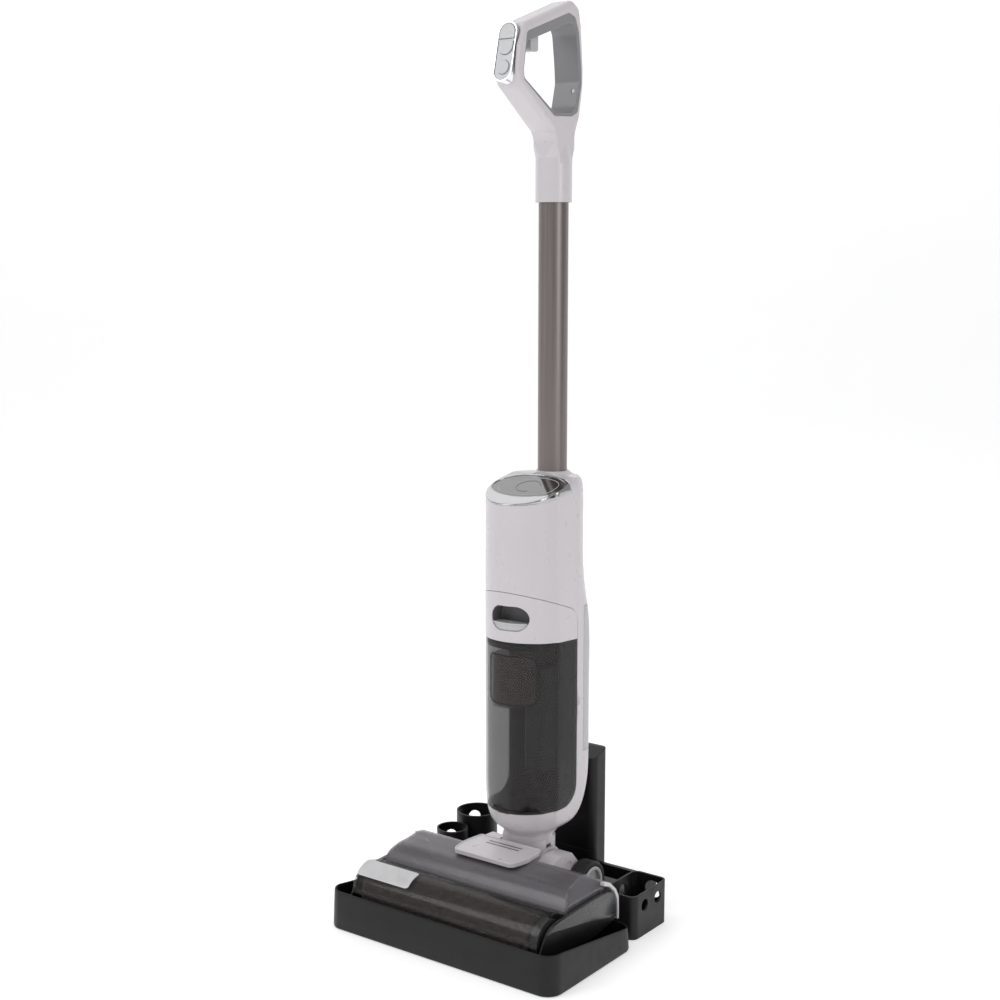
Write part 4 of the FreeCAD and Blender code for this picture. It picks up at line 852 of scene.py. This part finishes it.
def build_tank_inside():
    """The float chamber's outline and front wall, and the dark gasket, seen through the tank's wall."""
    bead("chamber_outline", chamber_ring(1.0), 0.0010, "rubber", "tank")
    bm = bmesh.new()
    made = skin(bm, [chamber_ring(1.4, share) for share in (1.0, 0.8, 0.6, 0.4, 0.2, 0.02)])
    bm.faces.new(made[-1])
    finished("chamber_wall", bm, "chamber", "tank", sharp=50)
    top, slope = 351.5, 0.065
    rings = []
    for drop in (9.5, 1.2):
        ring = []
        for step in range(61):
            angle = math.pi * step / 60
            y = -54.0 * math.sin(angle)
            ring.append(Vector((-49.0 * math.cos(angle) * MM, y * MM, (top - slope * y - drop) * MM)))
        rings.append(ring)
    shell("tank_gasket", rings, 0.0012, "rubber", "tank", offset=0.0)


def build_ridges():
    """Ribs across the underside of the grip, left out round the trigger."""
    pitch, radius, straight = 4.2, 1.15, 13
    bm = bmesh.new()
    for k in range(20):
        y = -29 + pitch * k
        if -13 < y < 9:
            continue
        z = 1050.5 + (y + 33) * 0.3465
        rings = []
        for x in (-15.2, -14.6, -13, 13, 14.6, 15.2):
            size = radius * math.sqrt(max(0.02, 1 - (max(abs(x) - straight, 0) / 2.3) ** 2))
            rings.append([Vector((x * MM, (y + size * math.cos(a)) * MM, (z + 0.1 + size * math.sin(a)) * MM))
                          for a in [2 * math.pi * step / 12 for step in range(12)]])
        made = skin(bm, rings)
        bm.faces.new(made[0])
        bm.faces.new(made[-1])
    finished("grip_ribs", bm, "grey", "body", sharp=60)


build_plates()
build_wheel(1, "right")
build_wheel(-1, "left")
build_latch()
build_display()
build_grip()
build_tank_inside()
build_ridges()

# ---------------------------------------------------------------- stage, light and camera


CAMERA_PLACE = (1.1057, -1.5466, 0.8143)
CAMERA_AZIMUTH = math.radians(36.65)
CAMERA_PITCH = math.radians(8.83)
SENSOR = 36
LENS = 57.41
GLOW = 0.40


def staged(name, rings, paint, smooth):
    """A sheet that belongs to the studio and not to the object."""
    bm = bmesh.new()
    skin(bm, rings, closed=False)
    mesh = bpy.data.meshes.new(name)
    bm.to_mesh(mesh)
    bm.free()
    for face in mesh.polygons:
        face.use_smooth = smooth
    mesh.materials.append(paint.material)
    obj = bpy.data.objects.new(name, mesh)
    bpy.context.scene.collection.objects.link(obj)


def build_stage():
    """Plain pale floor that curves up into a backdrop."""
    paint = Paint("stage_paper", (0.90, 0.90, 0.905), 0.75, Specular_IOR_Level=0.2, Emission_Strength=GLOW)
    paint.shader.inputs["Emission Color"].default_value = (1, 1, 1, 1)
    paint.tone(3, 0.004)
    back, sweep, half_wide = 3.0, 1.6, 9
    line = [(-6.0, 0.0), (back, 0.0)]
    for step in range(1, 17):
        angle = math.radians(90 * step / 16)
        line.append((back + sweep * math.sin(angle), sweep * (1 - math.cos(angle))))
    line.append((back + sweep, 7.0))
    heading = Vector((-math.sin(CAMERA_AZIMUTH), math.cos(CAMERA_AZIMUTH), 0))
    side = Vector((heading.y, -heading.x, 0))
    edges = (-half_wide, half_wide)
    rings = [[heading * d + side * s + Vector((0, 0, z - 0.0002)) for s in edges] for d, z in line]
    staged("stage_floor", rings, paint, True)


def build_flag():
    """A dark board out of the camera's view, for the tube and the chrome to reflect."""
    paint = Paint("flag_cloth", (0.02, 0.02, 0.02), 0.9)
    place = Vector((2.3, 0.85, 0.0))
    side = Vector((place.y, -place.x, 0)).normalized()
    half_wide, foot, top = 0.32, 0.25, 2.4
    rings = [[place + side * s + Vector((0, 0, z)) for s in (-half_wide, half_wide)] for z in (foot, top)]
    staged("dark_flag", rings, paint, False)


def lamp(name, place, aim, width, height, power):
    """A rectangular soft light that faces a point."""
    data = bpy.data.lights.new(name, "AREA")
    data.shape = "RECTANGLE"
    data.size = width
    data.size_y = height
    data.energy = power
    obj = bpy.data.objects.new(name, data)
    obj.location = place
    obj.rotation_euler = (Vector(aim) - Vector(place)).to_track_quat("-Z", "Y").to_euler()
    bpy.context.scene.collection.objects.link(obj)


def build_light():
    """An even white surround and four soft lights."""
    world = bpy.data.worlds.new("studio")
    bpy.context.scene.world = world
    world.use_nodes = True
    background = world.node_tree.nodes["Background"]
    background.inputs["Color"].default_value = (1, 1, 1, 1)
    background.inputs["Strength"].default_value = GLOW
    lamp("key", (-1.6, -2.6, 2.6), (0, 0, 0.5), 1.6, 2.2, 34)
    lamp("fill", (2.9, -0.6, 1.6), (0, 0, 0.5), 1.2, 2.2, 20)
    lamp("back", (-2.33, 1.30, 2.25), (0, 0, 0.5365), 1.6, 1.2, 1.6)
    lamp("top", (0, -0.3, 3.2), (0, 0, 0), 1.8, 1.8, 15)


def build_camera():
    data = bpy.data.cameras.new("camera")
    data.sensor_width = SENSOR
    data.lens = LENS
    obj = bpy.data.objects.new("camera", data)
    obj.location = CAMERA_PLACE
    obj.rotation_euler = (math.pi / 2 - CAMERA_PITCH, 0, CAMERA_AZIMUTH)
    bpy.context.scene.collection.objects.link(obj)
    bpy.context.scene.camera = obj


build_stage()
build_flag()
build_light()
build_camera()
bpy.context.scene.view_settings.view_transform = "Standard"
bpy.context.view_layer.update()
